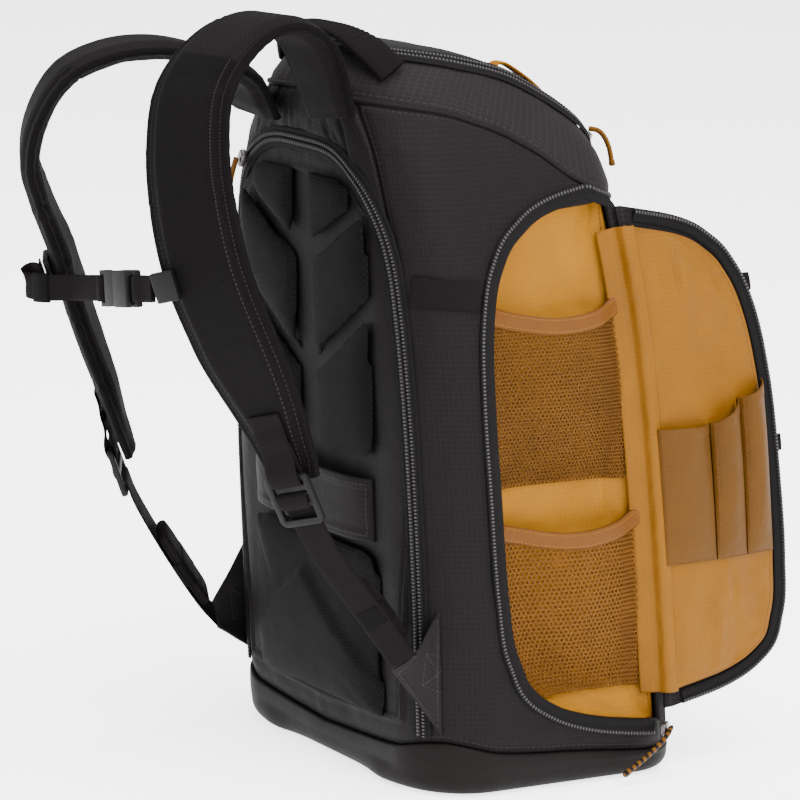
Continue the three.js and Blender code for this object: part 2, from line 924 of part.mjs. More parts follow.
// Side pocket: lining, net pockets with bound top edges, and the zip round the mouth
{
  const bowl = (u, v) => (1 - Math.abs(2 * u - 1) ** 6) * (1 - Math.abs(2 * v - 1) ** 8);
  const linerFace = (u, v) => -wall - skinLift - (linerDepth - wall) * Math.max(0, bowl(u, v));
  const linerPoint = (u, v, out) => {
    const z = mouthLow + mouthHeight * THREE.MathUtils.lerp(-linerRim, 1 + linerRim, v);
    const width = mouthAt(v)[0] * mouthWidth + 2 * linerRim * mouthHeight;
    return mouthFlat(width * u - linerRim * mouthHeight, z, out);
  };
  addPiece(
    'pocket_liner',
    skin({
      columns: [0, 0.03, 0.09, 0.25, 0.5, 0.75, 0.91, 0.97, 1],
      rows: [0, 0.02, 0.06, 0.14, 0.27, 0.46, 0.65, 0.79, 0.88, 0.94, 0.98, 1],
      outer: linerFace,
      inner: (u, v) => linerFace(u, v) - linerThick,
      point: linerPoint,
    }),
    tanLining
  );
  const netPockets = {
    upper: [upperMeshLow, upperMeshHigh],
    lower: [lowerMeshLow, lowerMeshHigh],
  };
  for (const [row, [low, high]] of Object.entries(netPockets)) {
    const share = (z) => (z - mouthLow) / mouthHeight;
    const edgeAt = (u) => high + bindingSag * (1 - Math.sin(Math.PI * u));
    const widthAt = (z) => mouthAt(share(z))[0] * mouthWidth;
    const netFace = (u, z, v) => {
      const belly = meshBulge * Math.sin(Math.PI * u) ** 0.8 * Math.sin((Math.PI / 2) * Math.min(1, v * 1.6));
      return linerFace(u, share(z)) + gap + meshThick + belly;
    };
    const at = (u, v, out) => {
      const z = THREE.MathUtils.lerp(low, edgeAt(u), v);
      return mouthFlat(widthAt(z) * u, z, out);
    };
    const columns = [0.03, 0.12, 0.26, 0.42, 0.58, 0.74, 0.88, 0.97];
    const heightAt = (u, v) => THREE.MathUtils.lerp(low, edgeAt(u), v);
    addPiece(
      `net_pocket_${row}`,
      skin({
        columns,
        rows: [0, 0.15, 0.35, 0.6, 0.85, 1],
        outer: (u, v) => netFace(u, heightAt(u, v), v),
        inner: (u, v) => netFace(u, heightAt(u, v), v) - meshThick,
        point: at,
      }),
      tanMesh
    );
    const bindingFrom = 1 - bindingHeight / (high - low);
    addPiece(
      `net_binding_${row}`,
      skin({
        columns,
        rows: [bindingFrom, 1],
        outer: (u, v) => netFace(u, heightAt(u, v), v) + gap + bindingThick,
        inner: (u, v) => netFace(u, heightAt(u, v), v) + gap,
        point: at,
      }),
      tanBinding
    );
  }
  const outline = finer(mouthSections.map(([v, share]) => [share * mouthWidth, mouthLow + v * mouthHeight]));
  const edges = [shiftOutline(outline, gap), shiftOutline(outline, edgeZipWidth)];
  addPiece(
    'pocket_zip',
    skin({
      columns: outline.map((_, i) => i),
      rows: [0, 1],
      outer: () => 2 * skinLift + zipThick,
      inner: () => 2 * skinLift,
      point: (i, v, out) => {
        const [w, z] = edges[v][i];
        const top = seamHeight(stationBehindHinge(z, w)) - 2 - (1 - v) * edgeZipWidth;
        return mouthFlat(w, Math.min(z, top), out);
      },
    }),
    coil
  );
}

/** Point of the opened flap: distance from the hinge, height, and distance towards the lined face. */
function flapFlat(distance, z, out) {
  const turn = THREE.MathUtils.degToRad(flapAngle);
  const along = new THREE.Vector3(Math.cos(turn), Math.sin(turn), 0);
  const face = new THREE.Vector3(Math.sin(turn), -Math.cos(turn), 0);
  const hinge = wallOffset(seamStation, z, gap + flapThick * 0.85);
  return hinge.addScaledVector(along, distance).addScaledVector(face, out);
}

// Side flap with its lining, slip pockets, zip edge and webbing tabs
{
  const flapOutline = mouthSections.map(([v, share]) => [
    share * flapWidth,
    flapLow + v * flapHeight,
  ]);
  const widthAt = (z) => mouthAt((z - flapLow) / flapHeight)[0] * flapWidth;
  addPiece(
    'side_flap',
    skin({
      columns: [0, 0.25, 0.5, 0.75, 0.95, 1],
      rows: mouthSections.map((row) => row[0]),
      outer: () => 0,
      inner: () => -flapThick,
      point: (u, v, out) => {
        const z = flapLow + v * flapHeight;
        return flapFlat(u * widthAt(z), z, out);
      },
    }),
    ripstop
  );
  const liningOutline = shiftOutline(flapOutline, -liningInset);
  const puff = (w, z) => {
    const across = THREE.MathUtils.clamp(w / (widthAt(z) - liningInset), 0, 1);
    const up = THREE.MathUtils.clamp((z - flapLow - liningInset) / (flapHeight - 2 * liningInset), 0, 1);
    return liningPuff * Math.sin(Math.PI * across) * Math.sin(Math.PI * up);
  };
  const liningFace = (w, z) => skinLift + liningThick + puff(w, z);
  addPiece(
    'flap_lining',
    skin({
      columns: [0, 0.2, 0.4, 0.6, 0.8, 1],
      rows: liningOutline.map((_, i) => i),
      outer: () => 1,
      inner: () => 0,
      point: (u, i, out) => {
        const [reach, z] = liningOutline[i];
        const w = THREE.MathUtils.lerp(1, reach, u);
        return flapFlat(w, z, out > 0 ? liningFace(w, z) : skinLift);
      },
    }),
    tanLining
  );
  const slipPockets = {
    slip: { from: 0.03, to: 0.4, topFrom: slipPocketTop, topTo: slipPocketTop + 1, swell: slipSwell },
    pen_inner: {
      from: 0.41,
      to: 0.65,
      topFrom: slipPocketTop + 1,
      topTo: penPocketTop - 11,
      swell: penSwell,
    },
    pen_outer: { from: 0.66, to: 0.88, topFrom: penPocketTop - 11, topTo: penPocketTop, swell: penSwell },
  };
  for (const [name, pocket] of Object.entries(slipPockets)) {
    const at = (u, v) => {
      const high = THREE.MathUtils.lerp(pocket.topFrom, pocket.topTo, u);
      const z = THREE.MathUtils.lerp(flapPocketLow, high, v);
      return [THREE.MathUtils.lerp(pocket.from, pocket.to, u) * flapWidth, z];
    };
    const swell = (u, v) => pocket.swell * Math.sin(Math.PI * u) ** 0.7 * Math.sin((Math.PI / 2) * v) ** 0.5;
    addPiece(
      `flap_pocket_${name}`,
      skin({
        columns: steps(0, 1, 4),
        rows: steps(0, 1, 4),
        outer: (u, v) => swell(u, v) + liningThick,
        inner: (u, v) => swell(u, v),
        point: (u, v, out) => {
          const [w, z] = at(u, v);
          return flapFlat(w, z, liningFace(w, z) + gap + slipClear + out);
        },
      }),
      tanLining
    );
  }
  const edge = shiftOutline(flapOutline, -edgeZipWidth / 2);
  const path = edge.map(([w, z]) => flapFlat(Math.max(w, 1), z, 0));
  const along = (i) => path[Math.min(i + 1, path.length - 1)].clone().sub(path[Math.max(i - 1, 0)]);
  const face = flapFlat(0, flapLow, 1).sub(flapFlat(0, flapLow, 0));
  addPiece(
    'flap_zip',
    ribbon({
      path,
      side: (i) => along(i).cross(face),
      width: edgeZipWidth - 1,
      thickness: zipThick,
      lift: 2 * skinLift,
    }),
    coil
  );
  for (const [name, height] of Object.entries({ upper: upperTabHeight, lower: lowerTabHeight })) {
    const edgeWidth = widthAt(height);
    addPiece(
      `flap_tab_${name}`,
      skin({
        columns: [edgeWidth - tabLength * 0.65, edgeWidth + tabLength * 0.35],
        rows: [height - tabWidth / 2, height + tabWidth / 2],
        outer: () => -flapThick - skinLift,
        inner: () => -flapThick - skinLift - webThick,
        point: (u, v, out) => flapFlat(u, v, out),
      }),
      webbing
    );
  }
}

// Shoulder straps with ladder buckles, adjuster webbing, rolled tails and corner tabs
const padProfile = [
  [-1, 0.62, 0.38],
  [-0.86, 0.94, 0.06],
  [0, 1, 0],
  [0.86, 0.94, 0.06],
  [1, 0.62, 0.38],
];

/** Points of a rectangle with rounded corners. */
function roundedRectangle(width, height, radius) {
  const corners = [
    [1, -1, -90],
    [1, 1, 0],
    [-1, 1, 90],
    [-1, -1, 180],
  ];
  return corners.flatMap(([sx, sy, from]) =>
    [0, 30, 60, 90].map((step) => {
      const turn = THREE.MathUtils.degToRad(from + step);
      return new THREE.Vector2(
        sx * (width / 2 - radius) + radius * Math.cos(turn),
        sy * (height / 2 - radius) + radius * Math.sin(turn)
      );
    })
  );
}

/** Flat ladder buckle: x across, y towards the strap, z outwards, centred on its middle bar. */
function ladderBuckle() {
  const outline = new THREE.Shape(roundedRectangle(buckleWidth, buckleLength, buckleBar));
  const frame = new THREE.ExtrudeGeometry(outline, { depth: buckleThick, bevelEnabled: false });
  const slotLength = buckleLength / 2 - buckleBar * 1.5;
  const slot = new THREE.BoxGeometry(adjusterWidth + 2, slotLength, buckleThick * 4);
  const slotShift = (buckleBar + slotLength) / 2;
  const body = toSolid(frame.translate(0, 0, -buckleThick / 2))
    .subtract(toSolid(slot.clone().translate(0, slotShift, 0)))
    .subtract(toSolid(slot.clone().translate(0, -slotShift, 0)));
  return fromSolid(body);
}

const strapCurves = {};
for (const [side, points] of Object.entries(strapRoute)) {
  strapCurves[side] = new THREE.CatmullRomCurve3(points.map(onRoute));
}

/** Direction across a shoulder strap at a share of its length. */
function strapAcross(side, share) {
  const turn = THREE.MathUtils.degToRad(THREE.MathUtils.lerp(0, strapTurn, Math.min(1, share * 1.3)));
  return new THREE.Vector3(Math.cos(turn), (side === 'left' ? -1 : 1) * Math.sin(turn), 0);
}

/** Middle of a shoulder strap with its directions across, up and away from the bag. */
function strapFrame(side, share) {
  const centre = strapCurves[side].getPoint(share);
  const up = strapCurves[side].getPoint(share - 0.01).sub(strapCurves[side].getPoint(share + 0.01)).normalize();
  const across = strapAcross(side, share);
  across.addScaledVector(up, -across.dot(up)).normalize();
  return { centre, across, up, out: across.clone().cross(up) };
}

for (const [side, sign] of Object.entries({ right: 1, left: -1 })) {
  const path = strapCurves[side].getPoints(30);
  addPiece(
    `shoulder_strap_${side}`,
    ribbon({
      path,
      side: (i) => strapAcross(side, i / (path.length - 1)),
      width: (share) => {
        const taper = THREE.MathUtils.smoothstep(share, strapTaperFrom, 1);
        return THREE.MathUtils.lerp(strapWidth, strapTipWidth, taper);
      },
      thickness: strapThick,
      lift: -strapThick / 2,
      crown: padProfile,
    }),
    ripstop
  );

  const end = path[path.length - 1];
  const up = path[path.length - 2].clone().sub(end).normalize();
  const across = strapAcross(side, 1);
  across.addScaledVector(up, -across.dot(up)).normalize();
  const out = across.clone().cross(up);
  const standOff = strapThick / 2 + buckleThick / 2 + webThick + 4 * gap;
  const centre = end
    .clone()
    .addScaledVector(up, tipOverlap - buckleLength / 2)
    .addScaledVector(out, standOff);
  addPiece(`strap_buckle_${side}`, placed(ladderBuckle(), centre, across, up), plastic);

  const local = ([y, n]) => centre.clone().addScaledVector(up, y).addScaledVector(out, n);
  const top = buckleLength / 2;
  const bar = top - buckleBar;
  const clear = buckleThick / 2 + webThick / 2 + 2 * gap;
  const double = clear - webThick - gap;
  const tabPath = [
    [top + tabRun * 0.5, -clear],
    [bar + 1, -clear],
    [bar - 2.4, -clear * 0.8],
    [bar - 3.6, 0],
    [bar - 2.4, clear * 0.8],
    [bar + 1, clear],
    [top + 2, clear],
    [top + tabRun * 0.3, -double],
    [top + tabRun * 0.6, -double],
    [top + tabRun * 0.75, -clear],
    [top + tabRun, -clear],
  ].map(local);
  const webStrip = (points, width) =>
    ribbon({ path: points, side: () => across, width, thickness: webThick, lift: -webThick / 2 });
  addPiece(`strap_tab_${side}`, webStrip(tabPath, adjusterWidth), webbing);

  const lowerRoute = adjusterRoute[side].map(onSideRoute);
  const apex = lowerRoute[lowerRoute.length - 1];
  const slotPath = [
    [buckleBar / 2 + 2.6, -1],
    [buckleBar / 2 + 2.4, clear * 0.7],
    [0.5, clear],
    [-buckleBar / 2 - 2.2, clear * 0.9],
    [-buckleBar / 2 - 4, 0],
    [-buckleBar / 2 - 5, -clear * 0.75],
    [-buckleBar / 2 - 7, -clear],
    [-top - 2, -clear],
  ].map(local);
  const start = slotPath[slotPath.length - 1];
  const lower = new THREE.CatmullRomCurve3([start, ...lowerRoute]).getPoints(12);
  addPiece(`adjuster_webbing_${side}`, webStrip([...slotPath, ...lower.slice(1)], adjusterWidth), webbing);

  addPiece(
    `webbing_tail_${side}`,
    ribbon({
      path: lower.slice(tailFrom, tailTo + 1),
      side: () => across,
      width: adjusterWidth,
      thickness: tailThick,
      lift: webThick / 2 + gap,
      crown: [
        [-1, 0.8, 0],
        [-0.8, 1, 0],
        [0.8, 1, 0],
        [1, 0.8, 0],
      ],
    }),
    webbing
  );

  const lastStep = apex.clone().sub(lowerRoute[lowerRoute.length - 2]).normalize();
  const tabEdge = (v) => {
    const z = THREE.MathUtils.lerp(cornerTabLow, cornerTabHigh, v);
    return wallOffset(sign * cornerTabStation, z, gap + webThick / 2);
  };
  const tabSide = across.clone().addScaledVector(lastStep, -across.dot(lastStep)).normalize();
  const tabMiddle = (u, v) =>
    apex
      .clone()
      .addScaledVector(lastStep, webThick)
      .addScaledVector(tabSide, sign * (v - 0.5) * adjusterWidth)
      .lerp(tabEdge(v), u);
  const cornerPoint = (u, v, shift) =>
    tabMiddle(u, v).addScaledVector(surfaceNormal(tabMiddle, u, v, 0.01, 0.01), shift);
  addPiece(
    `corner_tab_${side}`,
    skin({
      columns: steps(0, 1, 3),
      rows: steps(0, 1, 3),
      outer: () => webThick / 2,
      inner: () => -webThick / 2,
      point: cornerPoint,
    }),
    webbing
  );
}

// Sternum strap: clips on the shoulder straps' inner edges, fastened buckle and looped webbing
{
  const block = (length, height, depth) => new THREE.BoxGeometry(length, height, depth);
  const clipAt = {};
  let landing;
  for (const [side, sign] of Object.entries({ right: 1, left: -1 })) {
    const { centre, across, up, out } = strapFrame(side, clipShare[side]);
    const at = centre
      .addScaledVector(across, -sign * clipInset[side])
      .addScaledVector(out, strapThick / 2 + gap + clipDepth / 2);
    addPiece(`sternum_clip_${side}`, placed(block(clipLength, clipHeight, clipDepth), at, across, up), plastic);
    clipAt[side] = at.clone().addScaledVector(across, -sign * (clipLength / 2 + gap));
    if (side === 'left') {
      const face = out.clone().multiplyScalar(clipDepth / 2 + 2 * skinLift + webThick / 2);
      landing = { up, points: [clipAt.left.clone().add(face), at.clone().add(face)] };
    }
  }
  const [strapEdge, ...loop] = sternumLoop.map(onRoute);
  const along = strapEdge.clone().sub(clipAt.right).normalize();
  const upright = new THREE.Vector3(0, 0, 1);
  upright.addScaledVector(along, -upright.dot(along)).normalize();
  const middle = clipAt.right.clone().lerp(strapEdge, 0.4);

  const half = sternumBuckleLength / 2;
  const plateThick = buckleThick + 1;
  const plate = (shift) => {
    const body = block(buckleBar * 2, sternumBuckleWidth, plateThick).translate(shift, 0, 0);
    const slotShift = shift - Math.sign(shift) * 0.5;
    const slot = block(buckleBar, sternumWidth + 1, plateThick * 2).translate(slotShift, 0, 0);
    return toSolid(body).subtract(toSolid(slot));
  };
  const endShift = half - buckleBar;
  const lip = 1.5;
  const shellLength = half - buckleBar * 2 + 4;
  const shell = block(shellLength, sternumBuckleWidth, sternumBuckleThick).translate(lip - shellLength / 2, 0, 0);
  const pocket = block(shellLength, sternumBuckleWidth - 6, sternumBuckleThick - 5).translate(
    lip + 2.5 - shellLength / 2,
    0,
    0
  );
  const female = toSolid(shell).subtract(toSolid(pocket)).add(plate(-endShift));
  const stemLength = half - buckleBar * 2;
  const stem = block(stemLength - gap, sternumBuckleWidth - 1, sternumBuckleThick - 4).translate(
    lip + (stemLength + gap) / 2,
    0,
    0
  );
  const prongWidth = 5;
  const prongLength = shellLength * 0.7;
  const prong = (side) =>
    toSolid(
      block(prongLength, prongWidth, sternumBuckleThick - 6).translate(
        lip + 1 - prongLength / 2,
        side * (sternumBuckleWidth / 2 - 3 - prongWidth / 2 - 2 * gap),
        0
      )
    );
  const male = toSolid(stem).add(prong(1)).add(prong(-1)).add(plate(endShift));
  addPiece('sternum_buckle_female', placed(fromSolid(female), middle, along, upright), plastic);
  addPiece('sternum_buckle_male', placed(fromSolid(male), middle, along, upright), plastic);

  const outwards = along.clone().cross(upright);
  const clear = plateThick / 2 + webThick / 2 + 2 * gap;
  const apart = webThick / 2 + gap / 2;
  const nearBar = [
    [9, -apart],
    [3.2, -clear],
    [-1.6, -clear * 0.9],
    [-3.2, 0],
    [-1.6, clear * 0.9],
    [3.2, clear],
    [9, apart],
  ];
  const barLoop = (shift) =>
    nearBar.map(([distance, n]) =>
      middle
        .clone()
        .addScaledVector(along, Math.sign(shift) * (half - 2 + distance))
        .addScaledVector(outwards, n * Math.sign(shift))
    );
  const webStrip = (path, side) =>
    ribbon({ path, side, width: sternumWidth, thickness: webThick, lift: -webThick / 2 });
  const legs = [1, -1].map((n) =>
    clipAt.right.clone().addScaledVector(along, 2).addScaledVector(outwards, n * apart)
  );
  addPiece('sternum_webbing_right', webStrip([legs[0], ...barLoop(-1), legs[1]], () => upright), webbing);
  const curve = new THREE.CatmullRomCurve3([strapEdge, ...loop, ...landing.points]);
  const leftPath = [...barLoop(1), ...curve.getPoints(16)];
  const turnFrom = leftPath.length - 6;
  const leftSide = (i) =>
    upright.clone().lerp(landing.up, THREE.MathUtils.clamp((i - turnFrom) / 4, 0, 1)).normalize();
  addPiece('sternum_webbing_left', webStrip(leftPath, leftSide), webbing);
}

// Grab handle over the rear of the band
{
  const seat = (side) => bandOffset(side * handleStation, handleSeat, 2 * skinLift + handleThick / 2);
  const right = seat(1);
  const left = seat(-1);
  const count = 16;
  const shares = steps(-1, 1, count);
  const archAt = (share) => 1 - Math.abs(share) ** 3;
  const path = shares.map((share) => {
    const at = left.clone().lerp(right, (share + 1) / 2);
    at.z = THREE.MathUtils.lerp(at.z, handleTop, archAt(share));
    at.y += handleLean * archAt(share);
    return at;
  });
  const slopeAt = (share) => {
    const station = Math.sign(share) * handleStation;
    return bandPoint(station, handleSeat + 0.1).sub(bandPoint(station, handleSeat)).setX(0).normalize();
  };
  addPiece(
    'grab_handle',
    ribbon({
      path,
      side: (i) => slopeAt(shares[i] || 1).lerp(new THREE.Vector3(0, 1, 0), archAt(shares[i])).normalize(),
      width: handleWidth,
      thickness: handleThick,
      lift: -handleThick / 2,
    }),
    webbing
  );
}

// Webbing strips across the sides
for (const [side, sign] of Object.entries({ right: 1, left: -1 })) {
  const mouthShare = mouthAt((sideWebHeight - mouthLow) / mouthHeight)[0];
  const end = stationBehindHinge(sideWebHeight, mouthShare * mouthWidth + edgeZipWidth + sideWebWidth * 0.2);
  const marks = steps(0, 1, 6).map((share) => [
    sign * THREE.MathUtils.lerp(zipStation + 0.14, end, share),
    sideWebHeight + sideWebDrop * (0.5 - share),
  ]);
  const ordered = sign > 0 ? marks : marks.reverse();
  addPiece(
    `side_webbing_${side}`,
    surfaceStrip({ marks: ordered, width: sideWebWidth, thickness: webThick, lift: skinLift }),
    webbing
  );
}

// Sliders with their pulls, and the lid's tab
{
  const sliderBody = () => {
    const w = sliderWidth / 2;
    const h = sliderLength / 2;
    const shape = new THREE.Shape();
    shape.moveTo(-w, -h * 0.6);
    shape.lineTo(-w * 0.7, -h);
    shape.lineTo(w * 0.7, -h);
    shape.lineTo(w, -h * 0.6);
    shape.lineTo(w, h * 0.6);
    shape.lineTo(w * 0.7, h);
    shape.lineTo(-w * 0.7, h);
    shape.lineTo(-w, h * 0.6);
    return new THREE.ExtrudeGeometry(shape, { depth: sliderThick, bevelEnabled: false });
  };
  const addSlider = (name, at, out, along, hang) => {
    const across = along.clone().cross(out).normalize();
    const upward = out.clone().cross(across).normalize();
    addPiece(`${name}_slider`, placed(sliderBody(), at, across, upward), metal);
    const start = at.clone().addScaledVector(out, sliderThick + pullThick / 2 + skinLift);
    const path = [start, ...hang.map((step) => start.clone().add(new THREE.Vector3(...step)))];
    const flat = new THREE.Vector3(0, 0, -1).cross(out).normalize();
    addPiece(
      `${name}_pull`,
      ribbon({ path, side: () => flat, width: pullWidth, thickness: pullThick, lift: -pullThick / 2 }),
      goldCord
    );
  };
  const doorPoint = (p) => wallPoint(p, doorEdge(p));
  addSlider(
    'rear',
    wallOffset(rearSliderStation, doorEdge(rearSliderStation), 2 * skinLift + zipThick),
    surfaceNormal(wallPoint, rearSliderStation, doorEdge(rearSliderStation), 0.02, 2),
    doorPoint(rearSliderStation - 0.03).sub(doorPoint(rearSliderStation + 0.03)).normalize(),
    rearPullRun
  );
  const lidEdge = lidPoint(topSliderStation, 1);
  const lidOut = surfaceNormal(bandPoint, topSliderStation, 0.95, 0.02, 0.02);
  lidOut.z += 1;
  lidOut.normalize();
  addSlider(
    'top',
    lidEdge.clone().addScaledVector(lidOut, topZipLift + zipThick + 4 * skinLift),
    lidOut,
    lidPoint(topSliderStation + 0.05, 1).sub(lidPoint(topSliderStation - 0.05, 1)).normalize(),
    topPullRun
  );
  const pocketOut = wallOffset(seamStation, pocketSliderHeight, 1).sub(wallPoint(seamStation, pocketSliderHeight));
  addSlider(
    'pocket',
    wallOffset(stationBehindHinge(pocketSliderHeight, sliderLength), pocketSliderHeight, 4 * skinLift + zipThick),
    pocketOut.normalize(),
    new THREE.Vector3(0, 1, 0),
    pocketPullRun
  );

  const tabRise = (share) => 2 * skinLift + tabLift * (1 - Math.abs(2 * share - 1) ** 5);
  const tabPath = steps(0, 1, 10).map((share) => {
    const y = THREE.MathUtils.lerp(lidTabRear, lidTabFront, share);
    return new THREE.Vector3(lidTabSide, y, crestHeight(y) + lidCrown + tabRise(share));
  });
  addPiece(
    'lid_tab',
    ribbon({
      path: tabPath,
      side: () => new THREE.Vector3(-1, 0, 0),
      width: lidTabWidth,
      thickness: pullThick,
    }),
    goldCord
  );
}

export default group;
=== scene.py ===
"""Dresses the camera backpack on its packed frame: cloth, pads, zips, webbing and hardware.

Lengths are worked out in millimetres and turned into metres when a mesh is made.
"""

import logging
import math
from dataclasses import dataclass, field
from enum import Enum
from typing import Any, Callable, Optional, Sequence

import bmesh
import bpy
import numpy as np
from mathutils import Matrix, Vector


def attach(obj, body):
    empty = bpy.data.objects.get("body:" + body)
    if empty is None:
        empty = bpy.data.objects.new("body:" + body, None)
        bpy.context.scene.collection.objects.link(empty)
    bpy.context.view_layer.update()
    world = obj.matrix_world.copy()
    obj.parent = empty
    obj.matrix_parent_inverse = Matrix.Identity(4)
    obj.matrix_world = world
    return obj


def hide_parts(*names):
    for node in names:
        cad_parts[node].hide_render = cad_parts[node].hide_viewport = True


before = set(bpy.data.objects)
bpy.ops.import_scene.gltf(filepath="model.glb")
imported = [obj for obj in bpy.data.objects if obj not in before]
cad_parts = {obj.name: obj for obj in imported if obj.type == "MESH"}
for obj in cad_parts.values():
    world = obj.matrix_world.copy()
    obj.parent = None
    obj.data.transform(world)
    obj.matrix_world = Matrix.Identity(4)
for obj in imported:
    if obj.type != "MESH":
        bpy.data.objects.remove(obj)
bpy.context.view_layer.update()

logging.basicConfig(level=logging.INFO, format="%(message)s")
LOG = logging.getLogger("backpack")

MM = 0.001
UV_NAME = "cloth"
LATTICE = 64  # points along each side of the noise's lattice
HOLE_SHADE = (0.004, 0.0035, 0.004)  # painted shade: a flat dark colour put in a mesh's holes for the shade in their depth
Array = np.ndarray
Piece = bpy.types.Object
Material = bpy.types.Material
OfTwo = Callable[[Array, Array], Array]
OfThree = Callable[[Array, Array, Array], Array]


# Numbers and tables

def smooth_table(rows: Sequence[Sequence[float]]) -> Callable[[Array], Array]:
    """Smooth lookup in a table whose first column is the position.

    Between two rows the value follows a cubic whose end slopes are the mean slopes over the
    neighbouring rows, and it bends least at the table's ends.

    Args:
        rows: position and values of each row.

    Returns:
        A function of positions that gives the values along a last axis.
    """
    table = np.asarray(rows, float)
    at, values = table[:, 0], table[:, 1:]
    count = len(at)

    def lookup(t: Array) -> Array:
        """Values of the table at positions t."""
        t = np.clip(np.asarray(t, float), at[0], at[-1])
        i1 = np.clip(np.searchsorted(at, t, side="right"), 1, count - 1)
        i0 = i1 - 1
        first, last = i0 == 0, i1 == count - 1
        before = np.where(first, i1, i0 - 1)
        after = np.where(last, i0, np.minimum(i1 + 1, count - 1))
        half = (at[i1] - at[i0]) / 2
        w0 = half / (at[i0] - at[before])
        w1 = half / (at[after] - at[i1])
        p = (t - at[i0]) / (at[i1] - at[i0])
        p2, p3 = p * p, p**3
        s_before = -w0 * p3 + 2 * w0 * p2 - w0 * p
        s0 = (1 + w0) * p3 + (-1.5 - 2 * w0) * p2 + (-0.5 + w0) * p + 1
        s1 = (-1 - w1) * p3 + (1.5 + w1) * p2 + 0.5 * p
        s_after = w1 * p3 - w1 * p2
        parts = ((s_before, before), (s0, i0), (s1, i1), (s_after, after))
        return sum(weight[..., None] * values[index] for weight, index in parts)

    return lookup


def lerp(a: Any, b: Any, t: Any) -> Any:
    """Value that goes from a to b as t goes from 0 to 1."""
    return a + (b - a) * t


def smoothstep(t: Any, low: float, high: float) -> Any:
    """Smooth ramp from 0 at low to 1 at high; low may be the larger."""
    x = np.clip((np.asarray(t, float) - low) / (high - low), 0, 1)
    return x * x * (3 - 2 * x)


def unit(v: Array) -> Array:
    """Vectors of length 1 along the last axis."""
    return v / np.maximum(np.linalg.norm(v, axis=-1, keepdims=True), 1e-12)


def dot(a: Array, b: Array) -> Array:
    """Dot products along the last axis, which is kept."""
    return np.sum(a * b, axis=-1, keepdims=True)


def same_shape(*items: Any) -> list[Array]:
    """The items as arrays of numbers, all of one shape."""
    return np.broadcast_arrays(*(np.asarray(item, float) for item in items))


def soft_noise(u: Array, v: Array, seed: int) -> Array:
    """Smooth random height between -1 and 1 with one bump per unit of u and v.

    A square lattice holds seeded random heights, and a smooth ramp mixes the four nearest.

    Args:
        u: first coordinate.
        v: second coordinate.
        seed: number that settles the lattice.

    Returns:
        Heights of the same shape as u and v together.
    """
    lattice = np.random.RandomState(seed).uniform(-1, 1, (LATTICE, LATTICE))
    u, v = same_shape(u, v)
    iu, iv = np.floor(u).astype(int), np.floor(v).astype(int)
    fu, fv = smoothstep(u - iu, 0, 1), smoothstep(v - iv, 0, 1)
    corner = lambda a, b: lattice[(iu + a) % LATTICE, (iv + b) % LATTICE]
    low = lerp(corner(0, 0), corner(1, 0), fu)
    high = lerp(corner(0, 1), corner(1, 1), fu)
    return lerp(low, high, fv)


def creases(u: Array, v: Array, seed: int) -> Array:
    """Cloth creases between -1 and 1: the sharp valleys of two layers of smooth noise."""
    broad = soft_noise(u, v, seed)
    fine = soft_noise(u * 2.3 + 7.1, v * 2.1 + 3.7, seed + 1)
    return 0.7 * (1 - 2 * np.abs(broad)) + 0.3 * (1 - 2 * np.abs(fine)) - 0.25


def spline(points: Sequence[Sequence[float]], count: int) -> Array:
    """Smooth curve through points, evenly spaced in the points' own count.

    Each span is a cubic whose end slopes weigh the neighbouring spans by the fourth root of
    their squared lengths, so that the curve neither loops nor overshoots.

    Args:
        points: the points that the curve passes through.
        count: number of steps along the curve.

    Returns:
        count + 1 points.
    """
    p = np.asarray(points, float)
    ends = np.vstack([2 * p[0] - p[1], p, 2 * p[-1] - p[-2]])
    t = np.linspace(0, len(p) - 1, count + 1)
    i = np.minimum(np.floor(t).astype(int), len(p) - 2)
    w = (t - i)[:, None]
    x0, x1, x2, x3 = (ends[i + k] for k in range(4))
    span = lambda a, b: np.maximum(np.sum((b - a) ** 2, -1, keepdims=True) ** 0.25, 1e-4)
    d0, d1, d2 = span(x0, x1), span(x1, x2), span(x2, x3)
    m1 = ((x1 - x0) / d0 - (x2 - x0) / (d0 + d1) + (x2 - x1) / d1) * d1
    m2 = ((x2 - x1) / d1 - (x3 - x1) / (d1 + d2) + (x3 - x2) / d2) * d1
    c2 = -3 * x1 + 3 * x2 - 2 * m1 - m2
    c3 = 2 * x1 - 2 * x2 + m1 + m2
    return x1 + w * (m1 + w * (c2 + w * c3))


def evenly(path: Array, step: float, extra: Sequence[Array] = ()) -> list[Array]:
    """Points of a path at even distances, with other rows that go with it.

    Args:
        path: the points.
        step: distance between the new points.
        extra: arrays with a row for each point of the path.

    Returns:
        The new points and the new rows of each extra array.
    """
    length = np.concatenate([[0], np.cumsum(np.linalg.norm(np.diff(path, axis=0), axis=1))])
    count = max(int(round(length[-1] / step)), 2)
    at = np.linspace(0, length[-1], count + 1)
    pick = lambda rows: np.stack([np.interp(at, length, column) for column in rows.T], -1)
    return [pick(np.asarray(rows, float)) for rows in (path, *extra)]


def rounded(path: Array, rounds: int = 2) -> Array:
    """Path with its corners cut, so that it bends smoothly: each span keeps its middle half.

    Args:
        path: the points. The two ends stay.
        rounds: how often the corners are cut.

    Returns:
        The new points.
    """
    for _ in range(rounds):
        near = path[:-1] * 0.75 + path[1:] * 0.25
        far = path[:-1] * 0.25 + path[1:] * 0.75
        middle = np.stack([near, far], 1).reshape(-1, 3)
        path = np.vstack([path[:1], middle[1:-1], path[-1:]])
    return path


# Meshes

